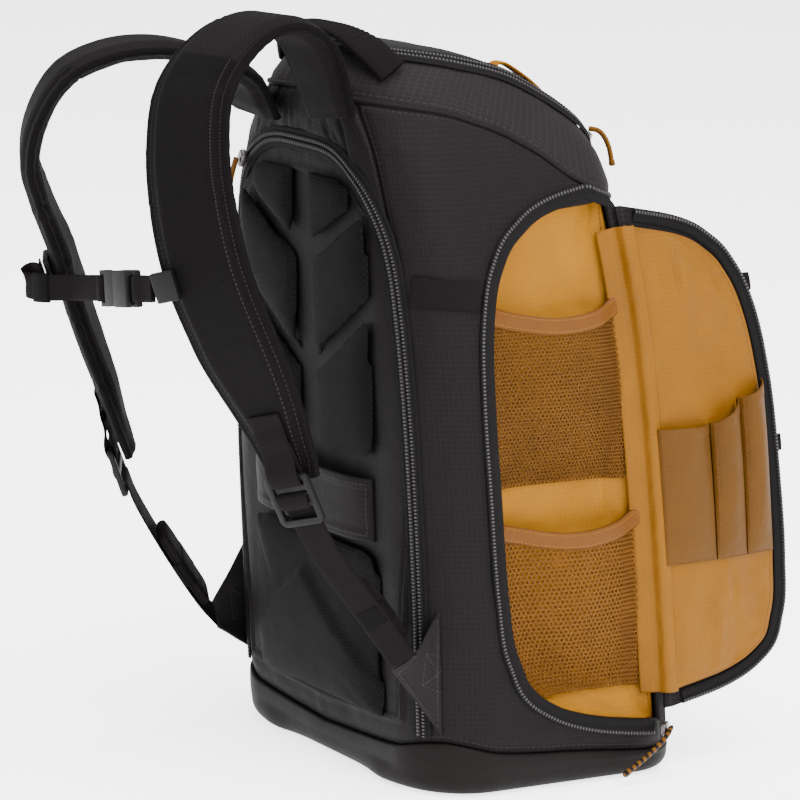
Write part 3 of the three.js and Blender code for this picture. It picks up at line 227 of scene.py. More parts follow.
def make_object(name: str, points: Array, faces: Array, uv: Optional[Array] = None) -> Piece:
    """Object with its place in its mesh, turned right side out.

    Args:
        name: the piece's name.
        points: corners in millimetres.
        faces: rows of corner numbers, all three or all four long.
        uv: two coordinates in metres for each corner.

    Returns:
        The new object.
    """
    sides = faces.shape[1]
    corners = points[faces]
    fan = [np.cross(corners[:, k], corners[:, k + 1]) for k in range(1, sides - 1)]
    if sum(np.sum(corners[:, 0] * part) for part in fan) < 0:
        faces = faces[:, ::-1]
    mesh = bpy.data.meshes.new(name)
    mesh.vertices.add(len(points))
    mesh.vertices.foreach_set("co", (points * MM).astype(np.float32).ravel())
    mesh.loops.add(faces.size)
    mesh.loops.foreach_set("vertex_index", faces.astype(np.int32).ravel())
    mesh.polygons.add(len(faces))
    mesh.polygons.foreach_set("loop_start", np.arange(0, faces.size, sides, dtype=np.int32))
    mesh.update(calc_edges=True)
    mesh.validate()
    mesh.polygons.foreach_set("use_smooth", np.ones(len(mesh.polygons), bool))
    piece = bpy.data.objects.new(name, mesh)
    bpy.context.scene.collection.objects.link(piece)
    if uv is not None:
        set_map(piece, uv)
    return piece


def set_map(piece: Piece, uv: Array) -> None:
    """Gives each corner of a mesh its point's coordinates, in metres.

    Args:
        piece: the piece.
        uv: two coordinates for each point.
    """
    mesh = piece.data
    layer = mesh.uv_layers.get(UV_NAME) or mesh.uv_layers.new(name=UV_NAME)
    order = np.zeros(len(mesh.loops), np.int32)
    mesh.loops.foreach_get("vertex_index", order)
    layer.data.foreach_set("uv", uv[order].astype(np.float32).ravel())


def give_values(piece: Piece, name: str, values: Array) -> None:
    """Stores a number at each point of a piece for its finish."""
    layer = piece.data.attributes.new(name, "FLOAT", "POINT")
    layer.data.foreach_set("value", np.asarray(values, np.float32).ravel())


def lay_cloth(piece: Piece, flat: Array, edge: Array) -> None:
    """Gives both faces of a cloth its map, from millimetres, and the distance to its edges."""
    set_map(piece, np.vstack([flat.reshape(-1, 2)] * 2) * MM)
    give_values(piece, "edge", np.concatenate([edge.ravel()] * 2))


def quads(rows: int, columns: int, wrap_rows: bool, wrap_columns: bool) -> Array:
    """Corner numbers of a grid's faces.

    Args:
        rows: points along axis 0.
        columns: points along axis 1.
        wrap_rows: True where the last row meets the first.
        wrap_columns: True where the last column meets the first.

    Returns:
        Four numbers for each face.
    """
    i = np.arange(rows if wrap_rows else rows - 1)[:, None]
    j = np.arange(columns if wrap_columns else columns - 1)[None, :]
    i2, j2 = (i + 1) % rows, (j + 1) % columns
    cells = [i * columns + j, i * columns + j2, i2 * columns + j2, i2 * columns + j]
    return np.stack(np.broadcast_arrays(*cells), -1).reshape(-1, 4)


def lengths(points: Array) -> Array:
    """Flat coordinates for a grid of points: the mean distances along its two directions.

    Args:
        points: the grid, in millimetres.

    Returns:
        Two coordinates in metres for each point.
    """
    across = np.linalg.norm(np.diff(points, axis=1), axis=-1).mean(0)
    along = np.linalg.norm(np.diff(points, axis=0), axis=-1).mean(1)
    u = np.concatenate([[0], np.cumsum(across)])
    v = np.concatenate([[0], np.cumsum(along)])
    return np.stack(np.meshgrid(u, v), -1) * MM


def make_skin(name: str, outer: Array, inner: Array, wrap: bool = False) -> Piece:
    """Closed wall between two grids of points of the same shape.

    The outer grid and the inner grid are two faces, and a strip of faces joins their edges.

    Args:
        name: the piece's name.
        outer: rows by columns of points on the outer face.
        inner: the same on the inner face.
        wrap: True where the last row meets the first.

    Returns:
        The new object, with coordinates in metres along the cloth.
    """
    rows, columns, _ = outer.shape
    size = rows * columns
    face = quads(rows, columns, wrap, False)
    number = np.arange(size).reshape(rows, columns)
    edges = [number[:, 0], number[::-1, -1]]
    if wrap:
        edges = [np.append(edge, edge[0]) for edge in edges]
    else:
        edges += [number[0, ::-1], number[-1]]
    rims = [np.stack([edge[:-1], edge[1:], edge[1:] + size, edge[:-1] + size], -1) for edge in edges]
    faces = np.vstack([face[:, ::-1], face + size, *rims])
    points = np.vstack([outer.reshape(-1, 3), inner.reshape(-1, 3)])
    uv = lengths(outer).reshape(-1, 2)
    piece = make_object(name, points, faces, np.vstack([uv, uv]))
    tidy_normals(piece)
    return piece


def tidy_normals(piece: Piece) -> None:
    """Turns every face of a closed mesh outwards."""
    mesh = bmesh.new()
    mesh.from_mesh(piece.data)
    bmesh.ops.recalc_face_normals(mesh, faces=mesh.faces)
    mesh.to_mesh(piece.data)
    mesh.free()


def make_sweep(name: str, rings: Array, loop: bool = False) -> Piece:
    """Closed body through rings of points, with its two ends closed to their middles.

    Args:
        name: the piece's name.
        rings: rings by points, each ring a closed loop.
        loop: True where the last ring meets the first.

    Returns:
        The new object. Its first coordinate runs round the ring and its second along the path.
    """
    count, around, _ = rings.shape
    faces = quads(count, around, loop, True)
    points = rings.reshape(-1, 3)
    closed = np.concatenate([rings, rings[:, :1]], 1)
    uv = lengths(closed)[:, :-1].reshape(-1, 2)
    if not loop:
        middles = np.stack([rings[0].mean(0), rings[-1].mean(0)])
        j = np.arange(around)
        k = (j + 1) % around
        last = (count - 1) * around
        hub = len(points)
        start = np.stack([k, j, np.full(around, hub)], -1)
        end = np.stack([last + j, last + k, np.full(around, hub + 1)], -1)
        points = np.vstack([points, middles])
        uv = np.vstack([uv, uv[:1], uv[-1:]])
        faces = np.vstack([faces[:, [0, 1, 2]], faces[:, [0, 2, 3]], start, end])
    piece = make_object(name, points, faces, uv)
    tidy_normals(piece)
    return piece


def band_rings(path: Array, side: Array, profile: Array) -> Array:
    """Rings of a strip: a flat outline of (across, up) points carried along a path.

    Across is the given direction less its part along the path, and up stands on both.

    Args:
        path: the points.
        side: rough direction across at each point, or one for all.
        profile: outline points, or one outline for each point of the path.

    Returns:
        Rings by points.
    """
    side = np.broadcast_to(np.asarray(side, float), path.shape)
    along = unit(np.gradient(path, axis=0))
    across = unit(side - along * dot(side, along))
    up = np.cross(across, along)
    shape = np.broadcast_to(profile, (len(path), *profile.shape[-2:]))
    return path[:, None] + across[:, None] * shape[..., :1] + up[:, None] * shape[..., 1:]


def flat_profile(width: float, thick: float, lift: float, columns: int, soft: float) -> Array:
    """Outline of flat webbing with soft edges: a wide oval with a level top and underside.

    Args:
        width: its width.
        thick: its thickness.
        lift: height of its underside.
        columns: steps across.
        soft: share of the thickness that its edges lose.

    Returns:
        Points (across, up) round the outline.
    """
    s = np.linspace(-1, 1, columns + 1)
    half = thick / 2 * (1 - soft * np.abs(s) ** 6)
    top = np.stack([s * width / 2, lift + thick / 2 + half], -1)
    low = np.stack([s * width / 2, lift + thick / 2 - half], -1)[::-1]
    return np.vstack([top, low])


def oval(columns: int, width: Array, height: Array, power_x: float = 1, power_y: float = 1) -> Array:
    """Ring of points whose cosine and sine are raised to powers below 1, which square it.

    Args:
        columns: points round the ring.
        width: half width, or a column of them.
        height: half height, or a column of them.
        power_x: power of the cosine.
        power_y: power of the sine.

    Returns:
        Points (across, up) round the ring.
    """
    angle = np.linspace(0, 2 * np.pi, columns + 1)[:-1]
    power = lambda c, p: np.sign(c) * np.abs(c) ** p
    x, y = power(np.cos(angle), power_x) * width, power(np.sin(angle), power_y) * height
    return np.stack(np.broadcast_arrays(x, y), -1)


# Finishes

def fill(tree: bpy.types.NodeTree, socket: bpy.types.NodeSocket, item: Any) -> None:
    """Links a value to a socket, or puts a colour or a number on it.

    Args:
        tree: the material's nodes.
        socket: the socket.
        item: what goes into it.
    """
    if isinstance(item, Value):
        tree.links.new(item.socket, socket)
    elif socket.type == "RGBA":
        socket.default_value = (*item, 1)
    else:
        socket.default_value = item


def joins(operation: str, meaning: str, turned: bool = False) -> Callable[..., "Value"]:
    """Method that puts a value and the others given to it through a Math node.

    Args:
        operation: the Math node's operation.
        meaning: what the method returns.
        turned: True where the value comes after the others.

    Returns:
        The method.
    """
    def method(self: "Value", *others: Any) -> "Value":
        """The Math node's result."""
        node = self.tree.nodes.new("ShaderNodeMath")
        node.operation = operation
        for socket, item in zip(node.inputs, (*others, self) if turned else (self, *others)):
            fill(self.tree, socket, item)
        return Value(self.tree, node.outputs[0])

    method.__doc__ = meaning
    return method


class Value:
    """A shader socket that takes part in sums written as Python expressions."""

    def __init__(self, tree: bpy.types.NodeTree, socket: bpy.types.NodeSocket) -> None:
        """Wraps an output socket of a node tree."""
        self.tree = tree
        self.socket = socket

    __add__ = __radd__ = joins("ADD", "This plus other.")
    __sub__ = joins("SUBTRACT", "This less other.")
    __rsub__ = joins("SUBTRACT", "Other less this.", True)
    __mul__ = __rmul__ = joins("MULTIPLY", "This times other.")
    __truediv__ = joins("DIVIDE", "This over other.")
    __pow__ = joins("POWER", "This to the power of other.")
    __abs__ = joins("ABSOLUTE", "This without its sign.")
    sine = joins("SINE", "Sine of this.")
    part = joins("FRACT", "Fraction of this.")
    least = joins("MINIMUM", "The smaller of this and other.")
    most = joins("MAXIMUM", "The larger of this and other.")

    def ramp(self, low: float, high: float) -> "Value":
        """Smooth step from 0 at low to 1 at high; low may be the larger.

        Args:
            low: where it is 0.
            high: where it is 1.

        Returns:
            The step.
        """
        node = self.tree.nodes.new("ShaderNodeMapRange")
        node.interpolation_type = "SMOOTHSTEP"
        ends = (high, low, 1.0, 0.0) if low > high else (low, high, 0.0, 1.0)
        for socket, item in zip(node.inputs, (self, *ends)):
            fill(self.tree, socket, item)
        return Value(self.tree, node.outputs[0])

    def wave(self, pitch: float) -> "Value":
        """Triangle wave of this: 0 at each whole pitch and 1 halfway."""
        return 1 - abs((self / pitch).part() * 2 - 1)

    def line(self, middle: float, width: float) -> "Value":
        """1 within half a width of the middle and 0 well outside it."""
        return abs(self - middle).ramp(width * 0.75, width * 0.35)


Colour = tuple[float, float, float]


def tone(red: int, green: int, blue: int) -> Colour:
    """Linear colour of a display colour with parts from 0 to 255."""
    part = lambda c: (c / 255 / 12.92) if c <= 10 else ((c / 255 + 0.055) / 1.055) ** 2.4
    return part(red), part(green), part(blue)


def lighter(colour: Colour, times: float) -> Colour:
    """Colour made lighter a number of times."""
    return tuple(part * times for part in colour)


class Shader:
    """Builder of one material: its nodes, its coordinates and its surface."""

    def __init__(self, name: str) -> None:
        """Starts a material with a bare Principled surface."""
        self.material = bpy.data.materials.new(name)
        self.material.use_nodes = True
        self.tree = self.material.node_tree
        self.surface = self.tree.nodes["Principled BSDF"]

    def node(self, kind: str, settings: Optional[dict] = None,
             values: Optional[dict] = None) -> bpy.types.Node:
        """New node.

        Args:
            kind: the node's type name without its prefix.
            settings: attributes, set first. A ramp's stops are (position, colour) pairs.
            values: what goes into its sockets, by name or number: values, colours or numbers.

        Returns:
            The node.
        """
        node = self.tree.nodes.new("ShaderNode" + kind)
        for key, setting in (settings or {}).items():
            setattr(node, key, setting)
        for key, item in (values or {}).items():
            fill(self.tree, node.inputs[key], item)
        return node

    def out(self, node: bpy.types.Node, key: Any = 0) -> Value:
        """An output of a node as a value."""
        return Value(self.tree, node.outputs[key])

    def apart(self, vector: Value) -> tuple[Value, Value, Value]:
        """The three parts of a vector, from metres to millimetres."""
        node = self.node("SeparateXYZ", values={0: vector})
        return tuple(self.out(node, k) * 1000 for k in range(3))

    def cloth(self) -> tuple[Value, Value]:
        """Millimetres across and along the cloth, from the piece's own map."""
        u, v, _ = self.apart(self.out(self.node("UVMap", {"uv_map": UV_NAME})))
        return u, v

    def spot(self) -> Value:
        """The object's own coordinates as a vector."""
        return self.out(self.node("TexCoord"), "Object")

    def stored(self, name: str) -> Value:
        """A number stored at the piece's points."""
        return self.out(self.node("Attribute", {"attribute_name": name}), "Fac")

    def edge(self) -> Value:
        """Millimetres to the piece's nearest edge."""
        return self.stored("edge")

    def noise(self, per_metre: float, detail: float = 3, rough: float = 0.55) -> Value:
        """Cloudy value between 0 and 1 on the object's own coordinates."""
        values = {"Vector": self.spot(), "Scale": per_metre, "Detail": detail, "Roughness": rough}
        return self.out(self.node("TexNoise", values=values))

    def grain(self, per_metre: float) -> Value:
        """Pebbled value between 0 and 1: the distance to the middle of each Voronoi cell."""
        return self.out(self.node("TexVoronoi", values={"Vector": self.spot(), "Scale": per_metre}))

    def mix(self, factor: Any, first: Any, second: Any) -> Value:
        """Colour between two colours."""
        values = {0: factor, 6: first, 7: second}
        return self.out(self.node("Mix", {"data_type": "RGBA", "clamp_factor": True}, values), 2)

    def bump(self, height: Value, depth: float, under: Optional[Value] = None) -> Value:
        """Normal of a relief.

        Args:
            height: its height, from 0 to 1.
            depth: its depth in millimetres.
            under: the normal that it changes, if any.

        Returns:
            The new normal.
        """
        values = {"Height": height, "Distance": depth * MM, "Strength": 1.0}
        if under is not None:
            values["Normal"] = under
        return self.out(self.node("Bump", values=values))

    def finish(self, **sockets: Any) -> Material:
        """Puts values and constants on the surface's sockets.

        Args:
            sockets: what goes in each socket, its name with _ for each space.

        Returns:
            The material.
        """
        for key, item in sockets.items():
            label = key.replace("_", " ").title().replace("Ior", "IOR")
            fill(self.tree, self.surface.inputs[label], item)
        return self.material


class Finish:
    """A finish whose material is made once."""

    name: str
    _made: dict[str, Material] = {}

    def material(self) -> Material:
        """The finish's material."""
        if self.name not in Finish._made:
            Finish._made[self.name] = self.build()
        return Finish._made[self.name]

    def build(self) -> Material:
        """Makes the material."""
        raise NotImplementedError

    def on(self, piece: Piece) -> None:
        """Puts the finish on every face of a piece."""
        piece.data.materials.clear()
        piece.data.materials.append(self.material())


@dataclass(frozen=True)
class TwoTone(Finish):
    """A finish whose colour lies between a dark and a light one."""

    name: str
    dark: Colour
    light: Colour


def stitches(shader: Shader, u: Value, v: Value, at: float, pitch: float = 3.4) -> Value:
    """Thread of a seam sewn a distance in from a piece's edge: short bars with gaps between."""
    return shader.edge().line(at, 0.9) * (u + v).wave(pitch).ramp(0.22, 0.42)


def threads(u: Value, v: Value, pitch: float) -> Value:
    """Ridges of a plain weave: the mean of a wave across and a wave along."""
    return (u.wave(pitch) + v.wave(pitch)) / 2


def cells(u: Value, v: Value, pitch: float, width: float = 0.2) -> Value:
    """Thick threads that cross at each whole pitch both ways, as thin soft lines."""
    return u.wave(pitch).ramp(width, 0.04).most(v.wave(pitch).ramp(width, 0.04))


@dataclass(frozen=True)
class Ripstop(TwoTone):
    """Plain woven nylon with a thicker thread every few millimetres each way."""

    cell: float = 3.6
    rough: float = 0.64
    sewn_at: float = 4.0
    thread: Colour = tone(32, 28, 29)
    grain: float = 0.16

    def build(self) -> Material:
        """Threads as ridges of two waves, thick threads as lines, and cloudy wear over both."""
        s = Shader(self.name)
        u, v = s.cloth()
        weave = threads(u, v, 0.9)
        thick = cells(u, v, self.cell)
        cloud = s.noise(26, 4)
        dust = s.noise(900, 2)
        seam = stitches(s, u, v, self.sewn_at)
        worn = s.edge().ramp(2.2, 0.2)
        share = weave * 0.25 + thick * 0.45 + cloud * 0.35 + dust * 0.12 + worn * 0.25 - 0.2
        colour = s.mix(share, self.dark, self.light)
        colour = s.mix(seam, colour, self.thread)
        normal = s.bump(weave * 0.35 + thick * 0.5 + dust * 0.25, self.grain)
        normal = s.bump(s.noise(55, 3), 1.1, normal)
        normal = s.bump(seam, 0.5, normal)
        rough = self.rough + cloud * 0.14 - thick * 0.06
        return s.finish(base_color=colour, roughness=rough, normal=normal, specular_ior_level=0.07)


@dataclass(frozen=True)
class AirMesh(TwoTone):
    """Spacer mesh: small round holes in offset rows between raised threads."""

    pitch: float = 2.6

    def build(self) -> Material:
        """Holes where the distance to the nearest point of a staggered lattice is small."""
        s = Shader(self.name)
        u, _, v = s.apart(s.spot())
        holes = mesh_holes(u, v, self.pitch, 0.36)
        cloud = s.noise(30, 3)
        fuzz = s.noise(1500, 2)
        colour = s.mix(cloud * 0.5 + fuzz * 0.3, self.dark, self.light)
        # The holes take the flat hole colour: painted shade in their depth.
        colour = s.mix(holes * 0.85, colour, HOLE_SHADE)
        normal = s.bump((1 - holes) * 0.8 + fuzz * 0.2, 0.5)
        normal = s.bump(s.noise(48, 2), 1.0, normal)
        return s.finish(base_color=colour, roughness=0.78 + cloud * 0.12, normal=normal,
                        specular_ior_level=0.06)


def mesh_holes(u: Value, v: Value, pitch: float, radius: float) -> Value:
    """1 in the round holes of a staggered lattice and 0 on the threads.

    Args:
        u: millimetres across.
        v: millimetres along.
        pitch: millimetres between holes in a row.
        radius: hole's radius as a share of the pitch.

    Returns:
        The mask.
    """
    def row(shift: float) -> Value:
        """Distance from the nearest hole of one of the two sets of rows, as a share of the pitch."""
        a = abs((u / pitch + shift).part() - 0.5)
        b = abs((v / (pitch * 1.732) + shift).part() - 0.5) * 1.732
        return (a * a + b * b) ** 0.5

    return row(0).least(row(0.5)).ramp(radius * 1.12, radius * 0.8)


@dataclass(frozen=True)
class Netting(TwoTone):
    """Knitted net with open holes."""

    pitch: float
    hole: float

    def build(self) -> Material:
        """Holes cut by the Alpha socket, and threads that round off towards each hole."""
        s = Shader(self.name)
        u, v = s.cloth()
        wavy = u + (v / 9.0).sine() * 0.35
        holes = mesh_holes(wavy, v, self.pitch, self.hole)
        rim = mesh_holes(wavy, v, self.pitch, self.hole * 1.5)
        cloud = s.noise(40, 3)
        ribs = (u + v).wave(0.7)
        # The rim mask darkens the threads next to each hole: painted shade.
        colour = s.mix(cloud * 0.5 + ribs * 0.2 + rim * 0.25, self.light, self.dark)
        normal = s.bump(1 - rim + ribs * 0.2, 0.35)
        return s.finish(base_color=colour, roughness=0.6 + cloud * 0.15, normal=normal, alpha=1 - holes,
                        specular_ior_level=0.1)


@dataclass(frozen=True)
class Lining(TwoTone):
    """Light coated nylon with fine threads and soft creases."""

    sewn_at: float = 3.0

    def build(self) -> Material:
        """Fine threads each way, cloudy tone, and creases as folded noise."""
        s = Shader(self.name)
        u, v = s.cloth()
        weave = threads(u, v, 0.7)
        thick = cells(u, v, 3.2, 0.18)
        cloud = s.noise(22, 4)
        crease = s.noise(45, 3, 0.6)
        seam = stitches(s, u, v, self.sewn_at)
        # The crease height also tints the colour: painted shade in the crease valleys and painted light on
        # their ridges.
        colour = s.mix(cloud * 0.5 + crease * 0.2 + weave * 0.15 + thick * 0.2, self.dark, self.light)
        colour = s.mix(seam * 0.7, colour, tone(80, 46, 10))
        normal = s.bump(weave * 0.6 + thick * 0.4, 0.1)
        normal = s.bump(crease, 2.2, normal)
        normal = s.bump(seam, 0.4, normal)
        return s.finish(base_color=colour, roughness=0.5 + cloud * 0.18, normal=normal,
                        specular_ior_level=0.1)


@dataclass(frozen=True)
class Binding(TwoTone):
    """Soft leather-like tape with a fine grain and a stitched line along each edge."""

    sewn_at: float = 1.8

    def build(self) -> Material:
        """Cells of a fine Voronoi pattern as grain, and stitches along the edge."""
        s = Shader(self.name)
        u, v = s.cloth()
        grain = s.grain(1100.0)
        cloud = s.noise(60, 4)
        seam = stitches(s, u, v, self.sewn_at, 2.8)
        colour = s.mix(cloud * 0.6 + grain * 0.3, self.dark, self.light)
        colour = s.mix(seam, colour, tone(100, 62, 14))
        normal = s.bump(grain, 0.18)
        normal = s.bump(seam, 0.45, normal)
        return s.finish(base_color=colour, roughness=0.5 + cloud * 0.15, normal=normal,
                        specular_ior_level=0.12)


@dataclass(frozen=True)
class Webbing(TwoTone):
    """Woven strap: slanted ribs that turn at the middle, and a tight edge."""

    rib: float = 1.5

    def build(self) -> Material:
        """Ribs along v, pushed sideways by a wave of u, so that they run as a row of Vs."""
        s = Shader(self.name)
        u, v = s.cloth()
        slant = v + u.wave(4.2) * 1.1
        ribs = slant.wave(self.rib)
        threads = u.wave(0.7)
        cloud = s.noise(45, 3)
        fuzz = s.noise(1400, 2)
        share = ribs * 0.45 + threads * 0.15 + cloud * 0.3 + fuzz * 0.2 - 0.15
        colour = s.mix(share, self.dark, self.light)
        normal = s.bump(ribs * 0.7 + threads * 0.3, 0.3)
        return s.finish(base_color=colour, roughness=0.68 + cloud * 0.14, normal=normal,
                        specular_ior_level=0.03)


@dataclass(frozen=True)
class Coil(Finish):
    """Zip: woven tape with glossier teeth, told apart by the piece's own tooth map."""

    name: str
    tape: Colour
    teeth: Colour

    def build(self) -> Material:
        """The tooth attribute mixes the two tones and the two gloss levels."""
        s = Shader(self.name)
        u, v = s.cloth()
        tooth = s.stored("tooth")
        cloud = s.noise(70, 3)
        weave = threads(u, v, 0.8)
        colour = s.mix(weave * 0.5 + cloud * 0.3, self.tape, lighter(self.tape, 1.9))
        # Painted highlight: the tops of the teeth take a light grey tone that stands for the glint of light
        # on the glossy coil.
        colour = s.mix(tooth.ramp(0.72, 1.0), colour, self.teeth)
        normal = s.bump(weave, 0.12)
        rough = 0.8 - tooth.ramp(0.2, 0.8) * 0.42 + cloud * 0.06
        return s.finish(base_color=colour, roughness=rough, normal=normal, specular_ior_level=0.08)


@dataclass(frozen=True)
class Moulded(TwoTone):
    """Moulded cover with a fine leathery grain, scuffed where it rubs."""

    grain: float = 900.0
    rough: float = 0.5

    def build(self) -> Material:
        """Voronoi cells as pebbled grain, with scuffs of stretched noise near the floor."""
        s = Shader(self.name)
        pebbles = s.grain(self.grain)
        _, _, z = s.apart(s.spot())
        cloud = s.noise(35, 5)
        scuff = s.noise(180, 5, 0.7).ramp(0.58, 0.75) * z.ramp(16, 1)
        colour = s.mix(cloud * 0.55 + pebbles * 0.35, self.dark, self.light)
        colour = s.mix(scuff * 0.6, colour, lighter(self.light, 2.2))
        normal = s.bump(pebbles, 0.22)
        normal = s.bump(s.noise(40, 2), 0.7, normal)
        return s.finish(base_color=colour, roughness=self.rough + cloud * 0.16 + scuff * 0.12,
                        normal=normal, specular_ior_level=0.05)


@dataclass(frozen=True)
class Plastic(Finish):
    """Injection-moulded nylon: near black, satin, with faint flow marks and fine scratches."""

    name: str
    colour: Colour
    rough: float = 0.34

    def build(self) -> Material:
        """Cloudy gloss, and thin bright scratches where a stretched noise peaks."""
        s = Shader(self.name)
        cloud = s.noise(60, 4)
        fine = s.noise(2400, 2)
        scratch = s.noise(420, 6, 0.75).ramp(0.66, 0.74)
        colour = s.mix(cloud * 0.4 + scratch * 0.5, self.colour, lighter(self.colour, 2.4))
        normal = s.bump(fine, 0.06)
        return s.finish(base_color=colour, roughness=self.rough + cloud * 0.12 + scratch * 0.1,
                        normal=normal, specular_ior_level=0.12)


@dataclass(frozen=True)
class Metal(Finish):
    """Dark plated die-cast metal, polished on its edges by use."""

    name: str
    colour: Colour

    def build(self) -> Material:
        """Metallic tone with cloudy roughness and fine pits."""
        s = Shader(self.name)
        cloud = s.noise(160, 4)
        pits = s.noise(1800, 3)
        colour = s.mix(cloud, self.colour, lighter(self.colour, 1.8))
        normal = s.bump(pits, 0.05)
        return s.finish(base_color=colour, metallic=1.0, roughness=0.28 + cloud * 0.2, normal=normal)


@dataclass(frozen=True)
class Cord(TwoTone):
    """Braided cord or pull whose strands cross: gold, with black turns where striped."""

    striped: bool = False

    def build(self) -> Material:
        """Diamonds of two slanted waves, and bands of black along it where striped."""
        s = Shader(self.name)
        u, v = s.cloth()
        strand = (u + v).wave(1.5) * (u - v).wave(1.5)
        cloud = s.noise(90, 3)
        colour = s.mix(strand * 0.7 + cloud * 0.3, self.dark, self.light)
        if self.striped:
            bands = v.wave(5.0).ramp(0.42, 0.58)
            colour = s.mix(bands, colour, tone(9, 7, 7))
        normal = s.bump(strand, 0.4)
        return s.finish(base_color=colour, roughness=0.6 + cloud * 0.15, normal=normal,
                        specular_ior_level=0.1)


@dataclass(frozen=True)
class Floor(Finish):
    """Pale studio floor."""

    name: str = "studio_floor"

    def build(self) -> Material:
        """Near white, with a trace of cloud in tone and gloss."""
        s = Shader(self.name)
        cloud = s.noise(1.2, 3)
        colour = s.mix(cloud, (0.9, 0.9, 0.91), (0.93, 0.93, 0.93))
        return s.finish(base_color=colour, roughness=0.62 + cloud * 0.1, emission_color=(1.0, 1.0, 1.0),
                        emission_strength=2.4)


BLACK = Ripstop("black_ripstop", tone(8, 6, 7), tone(19, 16, 17))
CHARCOAL = Ripstop("charcoal_ripstop", tone(15, 12, 13), tone(29, 25, 26))
DOOR = Ripstop("door_ripstop", tone(8, 6, 7), tone(18, 15, 16))
MOULDED = Moulded("moulded_base", tone(9, 7, 7), tone(17, 14, 14))
# The zip's light tooth tone is a painted highlight on the tooth tops.
PAINTED_GLINT_COIL = Coil("coil_zip", tone(7, 6, 6), tone(58, 55, 56))
BACK_MESH = AirMesh("back_air_mesh", tone(3, 2, 3), tone(9, 7, 8))
WEBBING = Webbing("webbing", tone(8, 6, 7), tone(20, 17, 18))
PLASTIC = Plastic("black_plastic", tone(4, 3, 3), 0.5)
TAN = Lining("tan_lining", tone(102, 62, 4), tone(138, 92, 9))
# Darker copy of the tan lining for the flap and its hinge: painted shade.
TAN_FLAP_SHADED = Lining("tan_flap_lining_shaded", tone(78, 46, 3), tone(110, 70, 6))
# Darker copy of the tan lining for the flap's pockets: painted shade.
TAN_POCKET_SHADED = Lining("tan_pocket_cloth_shaded", tone(54, 32, 2), tone(78, 48, 4), 1.6)
NET_FINE = Netting("tan_net_fine", tone(54, 31, 3), tone(88, 53, 7), 3.0, 0.34)
NET_COARSE = Netting("tan_net_coarse", tone(62, 35, 4), tone(98, 59, 9), 3.6, 0.34)
BINDING = Binding("tan_binding", tone(64, 34, 3), tone(90, 52, 7))
GOLD = Cord("gold_cord", tone(58, 33, 2), tone(122, 76, 5))
GOLD_STRIPED = Cord("gold_striped_cord", tone(58, 33, 2), tone(122, 76, 5), True)
METAL = Metal("dark_metal", tone(70, 66, 66))


# The bag's form

PLAN = smooth_table([
    (-0.05, 0.96, 0.24, 0.19), (0, 0.97, 0.25, 0.19), (0.05, 0.988, 0.26, 0.2), (0.13, 1, 0.27, 0.2),
    (0.42, 1, 0.27, 0.2), (0.58, 0.975, 0.27, 0.2), (0.71, 0.923, 0.26, 0.2), (0.83, 0.83, 0.24, 0.2),
    (0.92, 0.725, 0.25, 0.2), (0.985, 0.61, 0.29, 0.19), (1.08, 0.5, 0.27, 0.18),
])
RIM = smooth_table([
    (0, 0.998, 0.63), (1, 0.995, 0.8), (1.5, 0.989, 1), (2, 0.975, 0.78), (2.25, 0.961, 0.7),
    (2.5, 0.943, 0.65), (2.75, 0.915, 0.58), (3, 0.877, 0.5), (3.5, 0.85, 0.47), (4, 0.835, 0.47),
    (5, 0.833, 0.47),
])
CREST = smooth_table([
    (0, 0), (0.2, 0.045), (0.31, 0.085), (0.51, 0.195), (0.61, 0.295), (0.81, 0.55), (0.93, 0.765), (1, 1),
])
MOUTH_ROWS = [
    (0, 0.05), (0.022, 0.45), (0.07, 0.8), (0.155, 0.96), (0.27, 1), (0.46, 1), (0.65, 0.98),
    (0.79, 0.92), (0.87, 0.83), (0.93, 0.68), (0.975, 0.42), (1, 0.05),
]
MOUTH = smooth_table(MOUTH_ROWS)


def ring_point(half: Array, rear: Array, front: Array, rr: Array, fr: Array, station: Array) -> tuple:
    """Point on a rounded rectangle at a perimeter station.

    Stations run from 0 in the middle of the rear to 5 in the middle of the front, with one span
    each for half the rear, the rear corner, the side, the front corner and half the front.

    Args:
        half: half width.
        rear: y of the rear side.
        front: y of the front side.
        rr: radius of the rear corners.
        fr: radius of the front corners.
        station: perimeter station; a negative one lies on the -X side.

    Returns:
        x and y.
    """
    half, rear, front, rr, fr, station = np.broadcast_arrays(half, rear, front, rr, fr, station)
    wrapped = (station + 5) % 10 - 5
    q = np.abs(wrapped)
    part = np.minimum(np.floor(q), 4)
    share = q - part
    turn = share * np.pi / 2
    xs = [share * (half - rr), half - rr + rr * np.sin(turn), half, half - fr + fr * np.cos(turn),
          (half - fr) * (1 - share)]
    ys = [rear, rear + rr - rr * np.cos(turn), lerp(rear + rr, front - fr, share),
          front - fr + fr * np.sin(turn), front]
    chosen = part.astype(int)
    return np.where(wrapped < 0, -1, 1) * np.choose(chosen, xs), np.choose(chosen, ys)


def surface_normal(surface: OfTwo, a: Array, b: Array, step_a: float, step_b: float) -> Array:
    """Outward direction of a surface of two parameters, from small steps each way.

    Args:
        surface: the surface.
        a: its first parameter.
        b: its second.
        step_a: half a step of the first.
        step_b: half a step of the second.

    Returns:
        The direction, of length 1.
    """
    along_a = surface(a + step_a, b) - surface(a - step_a, b)
    along_b = surface(a, b + step_b) - surface(a, b - step_b)
    return unit(np.cross(along_a, along_b))


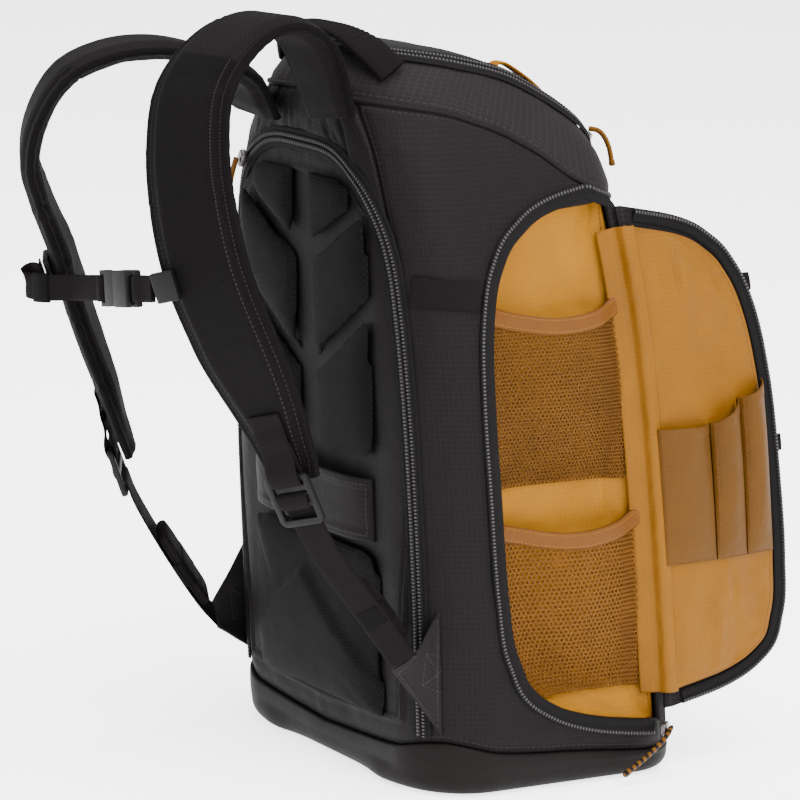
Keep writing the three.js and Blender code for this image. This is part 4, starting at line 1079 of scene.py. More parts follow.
@dataclass(frozen=True)
class BagForm:
    """The bag's outer form: its body, band, lid, door edge and pocket mouth, in millimetres."""

    height: float = 480
    width: float = 312
    depth: float = 205
    rear_lean: float = 26
    front_lean: float = 45
    boot_height: float = 38
    lid_width: float = 144
    lid_rear: float = 93
    lid_front: float = 70
    lid_top: float = 508
    lid_drop: float = 82
    lid_crown: float = 4
    band_bulge: float = 5
    door_top: float = 441
    door_shoulder: float = 350
    zip_station: float = 1.33
    seam_station: float = 3.5
    mouth_low: float = 38
    mouth_height: float = 372
    mouth_width: float = 129

    def plan(self, z: Array) -> tuple:
        """The body's outline at a height: a rounded rectangle that leans and narrows.

        Args:
            z: the height.

        Returns:
            Half width, rear, front, and the radii of the rear and front corners.
        """
        values = PLAN(np.asarray(z, float) / self.height)
        rear = -self.depth / 2 - self.rear_lean * z / self.height
        front = self.depth / 2 - self.front_lean * z / self.height
        return (values[..., 0] * self.width / 2, rear, front, values[..., 1] * self.depth,
                values[..., 2] * self.depth)

    def bare(self, station: Array, z: Array) -> Array:
        """Point of the body's face."""
        station, z = same_shape(station, z)
        x, y = ring_point(*self.plan(z), station)
        return np.stack([x, y, z], -1)

    def wall(self, station: Array, z: Array, out: Array = 0.0) -> Array:
        """Point at a distance outside the body's face."""
        normal = surface_normal(self.bare, station, z, 0.02, 2)
        return self.bare(station, z) + normal * np.asarray(out, float)[..., None]

    def fold(self, station: Array) -> Array:
        """Station turned onto the +X side."""
        return np.abs((np.asarray(station, float) + 5) % 10 - 5)

    def seam(self, station: Array) -> Array:
        """Height of the seam under the band."""
        return RIM(self.fold(station))[..., 0] * self.height

    def boot_top(self, station: Array) -> Array:
        """Height of the moulded base's edge."""
        return RIM(self.fold(station))[..., 1] * self.boot_height

    def door_edge(self, station: Array) -> Array:
        """Top edge of the rear door: an arch between its two shoulders."""
        share = np.minimum(np.abs(station) / self.zip_station, 1)
        arch = (1 - share**4.5) ** (1 / 2.2)
        return lerp(self.door_shoulder, self.door_top, arch)

    def crest(self, y: Array) -> Array:
        """Height of the lid's edge at a distance along the bag."""
        share = (np.asarray(y, float) + self.lid_rear) / (self.lid_front + self.lid_rear)
        return self.lid_top - self.lid_drop * CREST(share)[..., 0]

    def lid(self, station: Array, reach: Array) -> Array:
        """Point of the lid: its outline drawn in to its middle, at the crest's height plus a crown.

        Args:
            station: perimeter station.
            reach: 0 in the middle and 1 at the zipped edge.

        Returns:
            The point.
        """
        x, y = ring_point(self.lid_width / 2, -self.lid_rear, self.lid_front, self.lid_width * 0.36,
                          self.lid_width * 0.25, station)
        x, y, reach = np.broadcast_arrays(x, y, reach)
        middle = (self.lid_front - self.lid_rear) / 2
        y = middle + (y - middle) * reach
        return np.stack([x * reach, y, self.crest(y) + self.lid_crown * (1 - reach**2)], -1)

    def band_face(self, station: Array, share: Array) -> Array:
        """Point of the sloping band: between its two edges, and out by a sine bulge.

        Args:
            station: perimeter station.
            share: 0 at the seam and 1 at the lid.

        Returns:
            The point.
        """
        station, share = same_shape(station, share)
        start = self.bare(station, self.seam(station))
        flat = start.copy()
        flat[..., 2] = 0
        lean = unit(flat)
        lean[..., 2] = 1
        bulge = self.band_bulge * np.sin(np.pi * share)
        return lerp(start, self.lid(station, 1.0), share[..., None]) + unit(lean) * bulge[..., None]

    def band(self, station: Array, share: Array, out: Array = 0.0) -> Array:
        """Point at a distance outside the band."""
        normal = surface_normal(self.band_face, station, share, 0.02, 0.02)
        return self.band_face(station, share) + normal * np.asarray(out, float)[..., None]

    def behind_hinge(self, z: Array, distance: Array) -> Array:
        """Station of a point behind the pocket's hinge, round the front corner and along the side.

        Args:
            z: its height.
            distance: its distance from the hinge.

        Returns:
            The perimeter station.
        """
        _, rear, front, rr, fr = self.plan(z)
        corner = fr * np.pi / 2
        on_corner = corner * (self.seam_station - 3)
        flat = front - fr - rear - rr
        return np.where(distance < on_corner, self.seam_station - distance / corner,
                        3 - (distance - on_corner) / flat)

    def across_rear(self, z: Array, x: Array) -> Array:
        """Station on the rear face at a distance from the centre line, flat and then round the corner.

        Args:
            z: its height.
            x: its distance, negative on the left.

        Returns:
            The perimeter station.
        """
        half, _, _, rr, _ = self.plan(z)
        flat = half - rr
        away = np.abs(x)
        turn = np.arcsin(np.clip((away - flat) / rr, 0, 1))
        return np.sign(x) * np.where(away < flat, away / flat, 1 + turn / (np.pi / 2))

    def rear(self, x: Array, z: Array, out: Array) -> Array:
        """Point outside the rear face at x and z."""
        x, z, out = same_shape(x, z, out)
        return self.wall(self.across_rear(z, x), z, out)

    def mouth_reach(self, z: Array) -> Array:
        """Distance from the hinge to the pocket mouth's rear edge at a height."""
        share = (np.asarray(z, float) - self.mouth_low) / self.mouth_height
        return MOUTH(share)[..., 0] * self.mouth_width

    def beside(self, distance: Array, z: Array, out: Array) -> Array:
        """Point of the pocket's side at a distance behind the hinge."""
        distance, z, out = same_shape(distance, z, out)
        return self.wall(self.behind_hinge(z, distance), z, out)


FORM = BagForm()
_marks = np.linspace(-10, 10, 801)
_girth = np.linalg.norm(np.diff(FORM.bare(_marks, np.full(801, 240.0)), axis=0), axis=1)
_girth = np.concatenate([[0], np.cumsum(_girth)])


def girth(station: Array) -> Array:
    """Distance round the body at half height, in millimetres."""
    return np.interp(station, _marks, _girth)


def grid(first: Array, second: Array) -> tuple[Array, Array]:
    """Two parameters on a grid: the first changes along axis 0 and the second along axis 1."""
    return tuple(np.meshgrid(np.asarray(first, float), np.asarray(second, float), indexing="ij"))


def edge_distance(flat: Array, closed: bool = False) -> Array:
    """Distance of each point of a grid to the grid's border.

    Args:
        flat: two flat coordinates for each point.
        closed: True where the last row meets the first.

    Returns:
        The distance, along the grid's lines.
    """
    rows, columns, _ = flat.shape
    across = np.linalg.norm(np.diff(flat, axis=1), axis=-1)
    u = np.concatenate([np.zeros((rows, 1)), np.cumsum(across, 1)], 1)
    edge = np.minimum(u, u[:, -1:] - u)
    if not closed:
        along = np.linalg.norm(np.diff(flat, axis=0), axis=-1)
        v = np.concatenate([np.zeros((1, columns)), np.cumsum(along, 0)], 0)
        edge = np.minimum(edge, np.minimum(v, v[-1:] - v))
    return edge


@dataclass
class Cloth:
    """How a sewn cloth face rises, puckers and creases.

    Attributes:
        tuck: how far it is drawn in at its seams.
        swell: how far its middle stands out.
        reach: distance from a seam over which it comes out again.
        pucker: depth of the small gathers along its seams.
        pitch: distance between the gathers.
        crease: depth of the broad creases.
        size: size of the broad creases.
        seed: number that settles their places.
    """

    tuck: float = 1.2
    swell: float = 1.0
    reach: float = 9.0
    pucker: float = 0.35
    pitch: float = 15.0
    crease: float = 0.8
    size: float = 70.0
    seed: int = 1

    def rise(self, flat: Array, edge: Array) -> Array:
        """Height of the face: out from its seams, with gathers near them and creases between.

        Args:
            flat: millimetres across and along the cloth.
            edge: millimetres to the nearest seam.

        Returns:
            Height over the plain form.
        """
        u, v = flat[..., 0], flat[..., 1]
        out = smoothstep(edge, 0, self.reach)
        near = smoothstep(edge, 0, 5) * (1 - smoothstep(edge, 8, 30))
        gathers = soft_noise((u + 0.3 * v) / self.pitch, (v - 0.3 * u) / self.pitch, self.seed + 5)
        folds = creases(u / self.size, v / self.size * 0.8, self.seed)
        return (-self.tuck + (self.tuck + self.swell) * out + self.pucker * near * gathers
                + self.crease * folds * smoothstep(edge, 2, 25))


def cloth_skin(name: str, surface: Callable[[Array], Array], flat: Array, cloth: Cloth, thick: float,
               wrap: bool = False) -> Piece:
    """Sewn cloth wall over a form.

    Args:
        name: the piece's name.
        surface: function of the height out that gives the grid of points.
        flat: grid of millimetres across and along the cloth.
        cloth: how its face rises.
        thick: thickness.
        wrap: True where the last row meets the first.

    Returns:
        The piece, with its map and the distance to its seams.
    """
    edge = edge_distance(flat, wrap)
    rise = cloth.rise(flat, edge)
    piece = make_skin(name, surface(rise), surface(np.minimum(rise, 0) - thick), wrap)
    lay_cloth(piece, flat, edge)
    return piece


def dress(piece: Piece, finish: Finish, slot: str, *nodes: str) -> Piece:
    """Gives a piece its finish, its body, its slot and the solids that it stands for.

    Args:
        piece: the piece.
        finish: its finish.
        slot: its material slot.
        nodes: the solids, if any.

    Returns:
        The piece.
    """
    finish.on(piece)
    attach(piece, "root")
    if nodes:
        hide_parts(*nodes)
    LOG.info("%s: %d faces", piece.name, len(piece.data.polygons))
    return piece


@dataclass
class Shell:
    """Front, sides, yoke, door, band, lid and moulded base."""

    form: BagForm = FORM
    thick: float = 4.0
    door_thick: float = 6.0
    clear: float = 0.4
    piping_at: float = 19.0

    def low(self, station: Array) -> Array:
        """Height of the panels' lower edge, just over the moulded base."""
        return self.form.boot_top(station) + self.clear

    def high(self, station: Array) -> Array:
        """Height of the panels' upper edge, just under the band's seam."""
        return self.form.seam(station) - self.clear

    def panel(self, name: str, station: Array, z: Array, cloth: Cloth, thick: float) -> Piece:
        """Sewn panel on the body's face.

        Args:
            name: the piece's name.
            station: grid of perimeter stations.
            z: grid of heights.
            cloth: how its face rises.
            thick: thickness.

        Returns:
            The piece.
        """
        flat = np.stack([girth(station), z], -1)
        return cloth_skin(name, lambda out: self.form.wall(station, z, out), flat, cloth, thick)

    def whole(self, name: str, first: float, last: float, columns: int, cloth: Cloth) -> Piece:
        """Panel from the base to the band: its rows run evenly between its edges.

        Args:
            name: the piece's name.
            first: station where it starts.
            last: station where it ends.
            columns: points between them.
            cloth: how its face rises.

        Returns:
            The piece.
        """
        share, v = grid(np.linspace(0, 1, columns), np.linspace(0, 1, 130))
        station = lerp(first, last, share)
        return self.panel(name, station, lerp(self.low(station), self.high(station), v), cloth, self.thick)

    def sides(self) -> None:
        """Front panel, left side, and the right side up to the pocket mouth."""
        cloth = Cloth(swell=2.0, crease=1.1, size=90, seed=11)
        piece = self.whole("front_cloth", 3.5, 6.5, 96, cloth)
        dress(piece, BLACK, "black_ripstop", "front_panel")

        cloth = Cloth(swell=1.6, crease=1.1, size=80, pucker=0.5, seed=21)
        piece = self.whole("side_cloth_left", -3.5, -self.form.zip_station, 76, cloth)
        dress(piece, BLACK, "black_ripstop", "side_panel_left")

        hinge = self.form.seam_station
        bottom, mouth, top = float(self.low(hinge)), self.form.mouth_low, float(self.high(hinge))
        marks = [np.linspace(bottom, mouth, 14)[:-1], np.linspace(mouth, mouth + 22, 20)[:-1],
                 np.linspace(mouth + 22, top - 13, 120)[:-1], np.linspace(top - 13, top, 36)]
        edge_z = np.concatenate(marks)[None, :]
        ends = smoothstep(edge_z, mouth - 4, mouth) * smoothstep(edge_z, top, top - 6)
        edge_station = self.form.behind_hinge(edge_z, self.form.mouth_reach(edge_z) * ends + 0.5)
        lowest, highest = self.low(edge_station), self.high(edge_station)
        height = (edge_z - lowest) / (highest - lowest)
        height = np.clip(height + (1 - height[:, -1:]) * smoothstep(edge_z, top - 1, top), 0, 1)
        share = np.linspace(0, 1, 52)[:, None]
        station = lerp(self.form.zip_station, edge_station, share)
        z = lerp(self.low(station), self.high(station), height)
        cloth = Cloth(swell=1.0, crease=0.8, size=60, pucker=0.5, seed=31)
        piece = self.panel("side_cloth_right", station, z, cloth, self.thick)
        dress(piece, BLACK, "black_ripstop", "side_panel_right")

    def back(self) -> None:
        """Yoke over the door, with a seamed wing on each side, and the door itself."""
        bend = lambda count: np.sin(np.linspace(-np.pi / 2, np.pi / 2, count)) * self.form.zip_station
        gap = 2 * self.clear
        station, v = grid(bend(120), np.linspace(0, 1, 40))
        z = lerp(self.form.door_edge(station) + gap, self.high(station), v)
        flat = np.stack([girth(station), z], -1)
        cloth = Cloth(swell=1.2, pucker=0.9, pitch=9, crease=0.9, size=45, seed=41)
        wing = np.exp(-((np.abs(station) - lerp(0.98, 1.16, v)) / 0.016) ** 2)
        face = lambda out: self.form.wall(station, z, out - 1.3 * wing)
        piece = cloth_skin("rear_yoke_cloth", face, flat, cloth, self.thick)
        dress(piece, BLACK, "black_ripstop", "rear_yoke")

        station, v = grid(bend(130), np.linspace(0, 1, 150))
        z = lerp(self.low(station), self.form.door_edge(station) - gap, v)
        flat = np.stack([girth(station), z], -1)
        away = edge_distance(flat) - self.piping_at
        ridge = lambda middle, width: np.exp(-((away - middle) / width) ** 2)
        piping = 2.0 * ridge(0, 1.6) - 1.0 * ridge(3.6, 1.5) - 0.9 * ridge(-3.6, 1.5)
        cloth = Cloth(swell=0.7, pucker=0.5, pitch=10, crease=0.3, size=60, seed=51)
        face = lambda out: self.form.wall(station, z, out + piping)
        piece = cloth_skin("rear_door_cloth", face, flat, cloth, self.door_thick)
        dress(piece, DOOR, "black_ripstop", "rear_door")

    def top(self) -> None:
        """Sloping band and lid."""
        station, v = grid(np.linspace(-5, 5, 281)[:-1], np.linspace(0.01, 0.985, 34))
        width = np.linalg.norm(self.form.band_face(station, 1.0) - self.form.band_face(station, 0.0), axis=-1)
        flat = np.stack([girth(station) * 0.7, v * width], -1)
        cloth = Cloth(tuck=0.8, swell=0.9, pucker=0.5, pitch=13, crease=0.8, size=50, seed=61)
        face = lambda out: self.form.band(station, v, out)
        piece = cloth_skin("top_band_cloth", face, flat, cloth, 1.2, True)
        dress(piece, CHARCOAL, "charcoal_ripstop", "top_band")

        station, reach = grid(np.linspace(-5, 5, 241)[:-1], np.linspace(0.975, 0.02, 36))
        points = self.form.lid(station, reach)
        flat = points[..., [0, 1]]
        edge = (1 - reach) * self.form.lid_width / 2
        swell = smoothstep(edge, 0, 12) * 1.4 - 0.6
        folds = creases(flat[..., 0] / 55, flat[..., 1] / 55, 71) * 0.8 * smoothstep(edge, 3, 22)
        points[..., 2] += swell + folds
        under = points - [0, 0, 3.0]
        turned = lambda rows: np.swapaxes(rows, 0, 1)
        over_and_under = lambda top, low: np.concatenate([turned(top)[::-1], turned(low)])
        piece = make_sweep("top_lid_cloth", over_and_under(points, under))
        level = over_and_under(flat, flat).reshape(-1, 2)
        set_map(piece, np.vstack([level, [[0, 0], [0, 0]]]) * MM)
        give_values(piece, "edge", np.append(over_and_under(edge, edge), [60, 60]))
        dress(piece, BLACK, "black_ripstop", "top_lid")

    def base(self) -> None:
        """Moulded base: rings from the middle of its underside up over its lip and down inside."""
        station = np.linspace(-5, 5, 321)[:-1]
        fold = self.form.fold(station)
        near = 5.0 * np.exp(-(((fold - 0.8) / 0.22) ** 2))
        top = self.form.boot_top(station)
        rings = []
        for turn in np.linspace(0, np.pi / 2, 9):
            z = 13 * (1 - np.cos(turn)) * 0.98
            out = 2 - 11.5 * (1 - np.sin(turn)) ** 1.15
            foot = near * np.clip(1 - z / 19, 0, 1)
            ring = self.form.wall(station, z, out + foot)
            ring[:, 2] = np.maximum(z, 0)
            rings.append(ring)
        flat_ring = rings[0].copy()
        middle = np.array([[0, flat_ring[:, 1].mean(), 0]])
        under = [lerp(middle, flat_ring, k) for k in (0.05, 0.4, 0.75, 0.95)]
        walls = [self.form.wall(station, lerp(14.0, top - 1.2, k), 2.0 + 0.5 * np.sin(np.pi * k))
                 for k in np.linspace(0, 1, 9)[1:]]
        turns = ((top - 0.4, 1.5), (top, 0.6), (top, -1.6), (6.0, -14.0))
        rim = [self.form.wall(station, z, out) for z, out in turns]
        inside = rim[-1].copy()
        close = [lerp(np.array([[0, inside[:, 1].mean(), 6.0]]), inside, k) for k in (0.6, 0.1)]
        piece = make_sweep("moulded_base", np.stack(under + rings + walls + rim + close))
        dress(piece, MOULDED, "moulded_base", "base_boot")

    def piping(self) -> None:
        """Thin piping sunk into the seam between the panels and the band."""
        station = np.linspace(-5, 5, 401)[:-1]
        path = self.form.wall(station, self.form.seam(station), -0.7)
        out = unit(self.form.wall(station, self.form.seam(station), 1.0) - path)
        piece = make_sweep("seam_piping", band_rings(path, out, oval(10, 1.5, 1.7)), True)
        dress(piece, BLACK, "black_ripstop")

    def build(self) -> None:
        """Builds the whole shell."""
        self.sides()
        self.back()
        self.top()
        self.piping()
        self.base()


class Teeth(Enum):
    """Which part of a zip runs along a piece."""

    CLOSED = 2
    RIGHT_HALF = 1
    LEFT_HALF = -1


@dataclass
class Zip:
    """Coil zip: a woven tape whose teeth stand up from it in one or two rows."""

    width: float = 14.0
    tape: float = 0.9
    tooth: float = 1.8
    pitch: float = 2.5
    step: float = 0.5

    def build(self, name: str, path: Array, out: Array, finish: Finish, slot: str, teeth: Teeth, node: str,
              lift: float = 0.0) -> Piece:
        """Strip along a path whose height over the tape is a row of rounded teeth.

        A tooth's height is the product of a round hump across the strip and a round hump along it,
        and the two rows of a closed zip stand half a pitch apart.

        Args:
            name: the piece's name.
            path: points along the middle of the strip.
            out: direction away from the bag at each point.
            finish: the strip's finish.
            slot: its material slot.
            teeth: which rows it has.
            node: the solid that it stands for.
            lift: height of the tape's underside over the path.

        Returns:
            The piece.
        """
        path, out = evenly(path, self.step, (out,))
        along = unit(np.gradient(path, axis=0))
        across = unit(np.cross(along, out))
        up = np.cross(across, along)
        if np.sum(up * out) < 0:
            across, up = -across, -up
        run = np.arange(len(path))[:, None] * self.step
        half = self.width / 2
        if teeth is Teeth.CLOSED:
            s = np.array([0.15, 0.6, 1.3, 2.1, 2.9, 3.6, 4.15, 4.5, half - 1.2, half])
            s = np.concatenate([-s[::-1], s])
            rows = ((-2.15, 0.0), (2.15, 0.5))
        else:
            s = half - np.array([2 * half, 7.2, 5.6, 4.6, 4.0, 3.4, 2.7, 2.0, 1.3, 0.7, 0.2, 0])
            s = np.sort(s * teeth.value)
            rows = (((half - 2.0) * teeth.value, 0.0),)
        height = np.zeros((len(path), len(s)))
        for middle, shift in rows:
            hump = np.clip(1 - ((s - middle) / 2.0) ** 2, 0, 1) ** 0.5
            row = np.abs(np.sin(np.pi * (run / self.pitch + shift))) ** 0.55
            height = np.maximum(height, hump * (0.35 + 0.65 * row))
        edge = half - np.abs(s)
        tape = self.tape * (0.55 + 0.45 * smoothstep(edge, 0, 1.2))
        top = lift + tape + height * self.tooth
        under = path[:, None] + across[:, None] * s[:, None]
        piece = make_skin(name, under + up[:, None] * top[..., None], under + up[:, None] * lift)
        give_values(piece, "tooth", np.append(height, np.zeros(height.size)))
        give_values(piece, "edge", np.tile(edge, 2 * len(path)))
        return dress(piece, finish, slot, node)


@dataclass
class Zips:
    """The door's zip and the lid's zip."""

    form: BagForm = FORM

    def build(self) -> None:
        """Strips along the door's edge and the lid's edge."""
        reach = self.form.zip_station
        arch = np.sin(np.linspace(-1, 1, 161)[1:-1] * np.pi / 2) * reach
        rise = np.linspace(42, self.form.door_shoulder, 60)
        station = np.concatenate([np.full(60, -reach), arch, np.full(60, reach)])
        z = np.concatenate([rise, self.form.door_edge(arch), rise[::-1]])
        path = rounded(self.form.wall(station, z, 0.6), 1)
        ends = np.linspace(0, 1, len(path))
        at = np.linspace(0, 1, len(station))
        out = self.form.wall(station, z, 1.0) - self.form.bare(station, z)
        out = np.stack([np.interp(ends, at, column) for column in out.T], -1)
        Zip(width=15).build("door_zip", path, out, PAINTED_GLINT_COIL, "coil_zip", Teeth.CLOSED, "rear_zip")

        station = np.linspace(-3.6, 3.6, 300)
        wide = np.linalg.norm(self.form.band_face(station, 1.0) - self.form.band_face(station, 0.0), axis=-1)
        share = 1 - 7.4 / wide
        path = self.form.band(station, share, 0.9)
        out = self.form.band(station, share, 1.9) - path
        Zip(width=14).build("lid_zip", path, out, PAINTED_GLINT_COIL, "coil_zip", Teeth.CLOSED, "top_zip", 0.9)


# Back panel

def pillow(place: OfThree, height: OfTwo, columns: int, rows: int) -> tuple[Array, Array]:
    """Two faces of a pad: its crowned face and its flat back, on one grid of u and v from 0 to 1.

    Args:
        place: point for u, v and a height out.
        height: height of the crowned face.
        columns: points along u.
        rows: points along v.

    Returns:
        The outer and the inner grid.
    """
    turn = lambda count: 0.5 - 0.5 * np.cos(np.linspace(0, np.pi, count))
    u, v = grid(turn(columns), turn(rows))
    return place(u, v, height(u, v)), place(u, v, 0.5)


def bulge(share: Array, power: float) -> Array:
    """Round crown: the root of one less a power of the distance from the middle."""
    return np.sqrt(np.clip(1 - np.abs(2 * share - 1) ** power, 0, 1))


def inflate(piece: Piece, back: Array, cap: float, voxel: float = 4.0, frames: int = 20) -> None:
    """Fills a pad with air: remeshed evenly, then blown up as cloth with its back held.

    Args:
        piece: closed mesh of the pad.
        back: direction in which its back faces.
        cap: most that a point may move, in millimetres.
        voxel: size of the new faces in millimetres.
        frames: length of the simulation.
    """
    even = piece.modifiers.new("even", "REMESH")
    even.mode = "VOXEL"
    even.voxel_size = voxel * MM
    even.use_smooth_shade = True
    take_shape(piece)
    mesh = piece.data
    count = len(mesh.vertices)
    start = np.zeros(count * 3, np.float32)
    mesh.vertices.foreach_get("co", start)
    normals = np.zeros(count * 3, np.float32)
    mesh.vertices.foreach_get("normal", normals)
    held = np.nonzero(normals.reshape(-1, 3) @ np.asarray(back, np.float32) > 0.6)[0]
    group = piece.vertex_groups.new(name="held")
    group.add([int(k) for k in held], 1.0, "REPLACE")
    cloth = piece.modifiers.new("cloth", "CLOTH")
    cloth.settings.use_pressure = True
    cloth.settings.uniform_pressure_force = 4.0
    cloth.settings.vertex_group_mass = "held"
    cloth.settings.effector_weights.gravity = 0.0
    cloth.settings.tension_stiffness = 12
    cloth.settings.compression_stiffness = 12
    cloth.point_cache.frame_start = 1
    cloth.point_cache.frame_end = frames
    for number in range(1, frames + 1):
        bpy.context.scene.frame_set(number)
    take_shape(piece)
    bpy.context.scene.frame_set(1)
    blown = np.zeros(count * 3, np.float32)
    piece.data.vertices.foreach_get("co", blown)
    move = (blown - start).reshape(-1, 3)
    size = np.linalg.norm(move, axis=1, keepdims=True)
    move *= np.minimum(1, cap * MM / np.maximum(size, 1e-9))
    piece.data.vertices.foreach_set("co", (start.reshape(-1, 3) + move).ravel())
    piece.data.polygons.foreach_set("use_smooth", np.ones(len(piece.data.polygons), bool))
    piece.data.update()
    piece.vertex_groups.clear()


def take_shape(piece: Piece) -> None:
    """Applies a piece's modifiers to its mesh."""
    graph = bpy.context.evaluated_depsgraph_get()
    graph.update()
    fresh = bpy.data.meshes.new_from_object(piece.evaluated_get(graph))
    old = piece.data
    piece.modifiers.clear()
    piece.data = fresh
    bpy.data.meshes.remove(old)


def subdivide(piece: Piece, levels: int = 1) -> None:
    """Finishes a piece with a subdivision surface."""
    finer = piece.modifiers.new("finer", "SUBSURF")
    finer.levels = levels
    finer.render_levels = levels


def mesh_points(piece: Piece) -> Array:
    """A piece's points in millimetres."""
    points = np.zeros(len(piece.data.vertices) * 3, np.float32)
    piece.data.vertices.foreach_get("co", points)
    return points.reshape(-1, 3).astype(float) / MM


def put_points(piece: Piece, points: Array) -> None:
    """Moves a piece's points to places in millimetres."""
    piece.data.vertices.foreach_set("co", (points * MM).astype(np.float32).ravel())
    piece.data.update()


@dataclass
class BackPanel:
    """Chevron pads, lumbar pad and the band that slips over a suitcase handle."""

    form: BagForm = FORM
    thick: float = 10.0
    inner: float = 11.0
    outer: float = 94.0
    groove: float = 9.0
    lift: float = 0.9
    rows: dict[str, tuple] = field(default_factory=lambda: {
        "upper": (364, 409, 500, 500, 0.72),
        "middle": (284, 338, 364, 409, 1),
        "lower": (222, 222, 284, 338, 1),
    })

    def pads(self) -> None:
        """Six pads with slanted edges, each blown up as cloth and then subdivided."""
        for side, sign in (("right", 1), ("left", -1)):
            for row, (in_low, out_low, in_high, out_high, reach) in self.rows.items():
                wide = self.inner + (self.outer - self.inner) * reach

                def place(u: Array, v: Array, out: Array) -> Array:
                    """Point of the pad between its slanted edges and under the door's arch."""
                    x = lerp(self.inner, wide, u)
                    share = (x - self.inner) / (self.outer - self.inner)
                    low = lerp(in_low, out_low, share) + self.groove / 2
                    arch = self.form.door_edge(self.form.across_rear(self.form.door_top - 40, x)) - 18
                    high = np.minimum(lerp(in_high, out_high, share) - self.groove / 2, arch)
                    return self.form.rear(sign * x, lerp(low, high, v), self.lift + out)

                crown = lambda u, v: 1.6 + (self.thick - 3.2) * (bulge(u, 3.2) * bulge(v, 3.2))
                outer, inner = pillow(place, crown, 26, 26)
                piece = make_skin(f"back_pad_{side}_{row}_mesh", outer, inner)
                inflate(piece, (0, 1, 0), 5.0)
                subdivide(piece)
                dress(piece, BACK_MESH, "air_mesh", f"back_pad_{side}_{row}")

    def lumbar(self) -> None:
        """Lumbar pad, blown up as cloth, then raised below a chevron line."""
        half, low, high = 92.0, 46.0, 166.0
        place = lambda u, v, out: self.form.rear((2 * u - 1) * half, lerp(low, high, v), self.lift + out)
        crown = lambda u, v: 1.6 + 7.4 * bulge(u, 5) * bulge(v, 5)
        outer, inner = pillow(place, crown, 50, 34)
        piece = make_skin("lumbar_pad_mesh", outer, inner)
        inflate(piece, (0, 1, 0), 4.0)
        points = mesh_points(piece)
        u, v = points[:, 0] / half, (points[:, 2] - low) / (high - low)
        out = (self.form.rear(points[:, 0], points[:, 2], 0.0) - points)[:, 1]
        ridge = (0.78 - 0.55 * np.abs(u)) - v
        crown = bulge((u + 1) / 2, 6) * bulge(v, 6) * smoothstep(out, 2, 7)
        line = np.exp(-((ridge * (high - low)) / 2.2) ** 2)
        points[:, 1] -= crown * (4.5 * smoothstep(ridge, -0.03, 0.035) - 1.6 * line)
        put_points(piece, points)
        subdivide(piece)
        dress(piece, BACK_MESH, "air_mesh", "lumbar_pad")

    def trolley(self) -> None:
        """Smooth band that stands clear of the door between its two sewn ends."""
        half, low, high = 86.0, 172.0, 216.0
        u, v = grid(np.linspace(-1, 1, 130), np.linspace(0, 1, 34))
        lift = 0.5 + 10.0 * (1 - np.abs(u) ** 6)
        hem_edge = np.minimum(v, 1 - v) * (high - low)
        sag = 0.7 * soft_noise(u * 3, v * 2, 81) + 0.5 * np.sin(np.pi * v)
        hem = 0.7 * smoothstep(hem_edge, 7.5, 6.2)
        flat = np.stack([u * half, lerp(low, high, v)], -1)
        point = lambda out: self.form.rear(flat[..., 0], flat[..., 1], out)
        piece = make_skin("trolley_band_cloth", point(lift + 2.0 + hem + sag), point(lift + 0.2))
        lay_cloth(piece, flat, np.minimum((1 - np.abs(u)) * half, hem_edge))
        dress(piece, DOOR, "black_ripstop", "trolley_band")

    def build(self) -> None:
        """Builds the whole back panel."""
        self.pads()
        self.lumbar()
        self.trolley()


# Side pocket

def slab(name: str, face: OfThree, flat: OfTwo, out: OfTwo, thick: float, columns: int, rows: int) -> Piece:
    """Thin cloth on a grid of u and v from 0 to 1.

    Args:
        name: the piece's name.
        face: point for u, v and a height.
        flat: millimetres across and along for u and v.
        out: height of the cloth's face.
        thick: thickness.
        columns: points along u.
        rows: points along v.

    Returns:
        The piece with its map and the distance to its edges.
    """
    u, v = grid(np.linspace(0, 1, columns), np.linspace(0, 1, rows))
    height = out(u, v)
    piece = make_skin(name, face(u, v, height), face(u, v, height - thick))
    lay_cloth(piece, flat(u, v), edge_distance(flat(u, v)))
    return piece


def inside(reach: Array, z: Array, distance: float) -> tuple[Array, Array]:
    """Curve a distance inside a curve of reach and height, or outside it where negative."""
    along = unit(np.gradient(np.stack([reach, z], -1), axis=0))
    return reach - distance * along[:, 1], z + distance * along[:, 0]


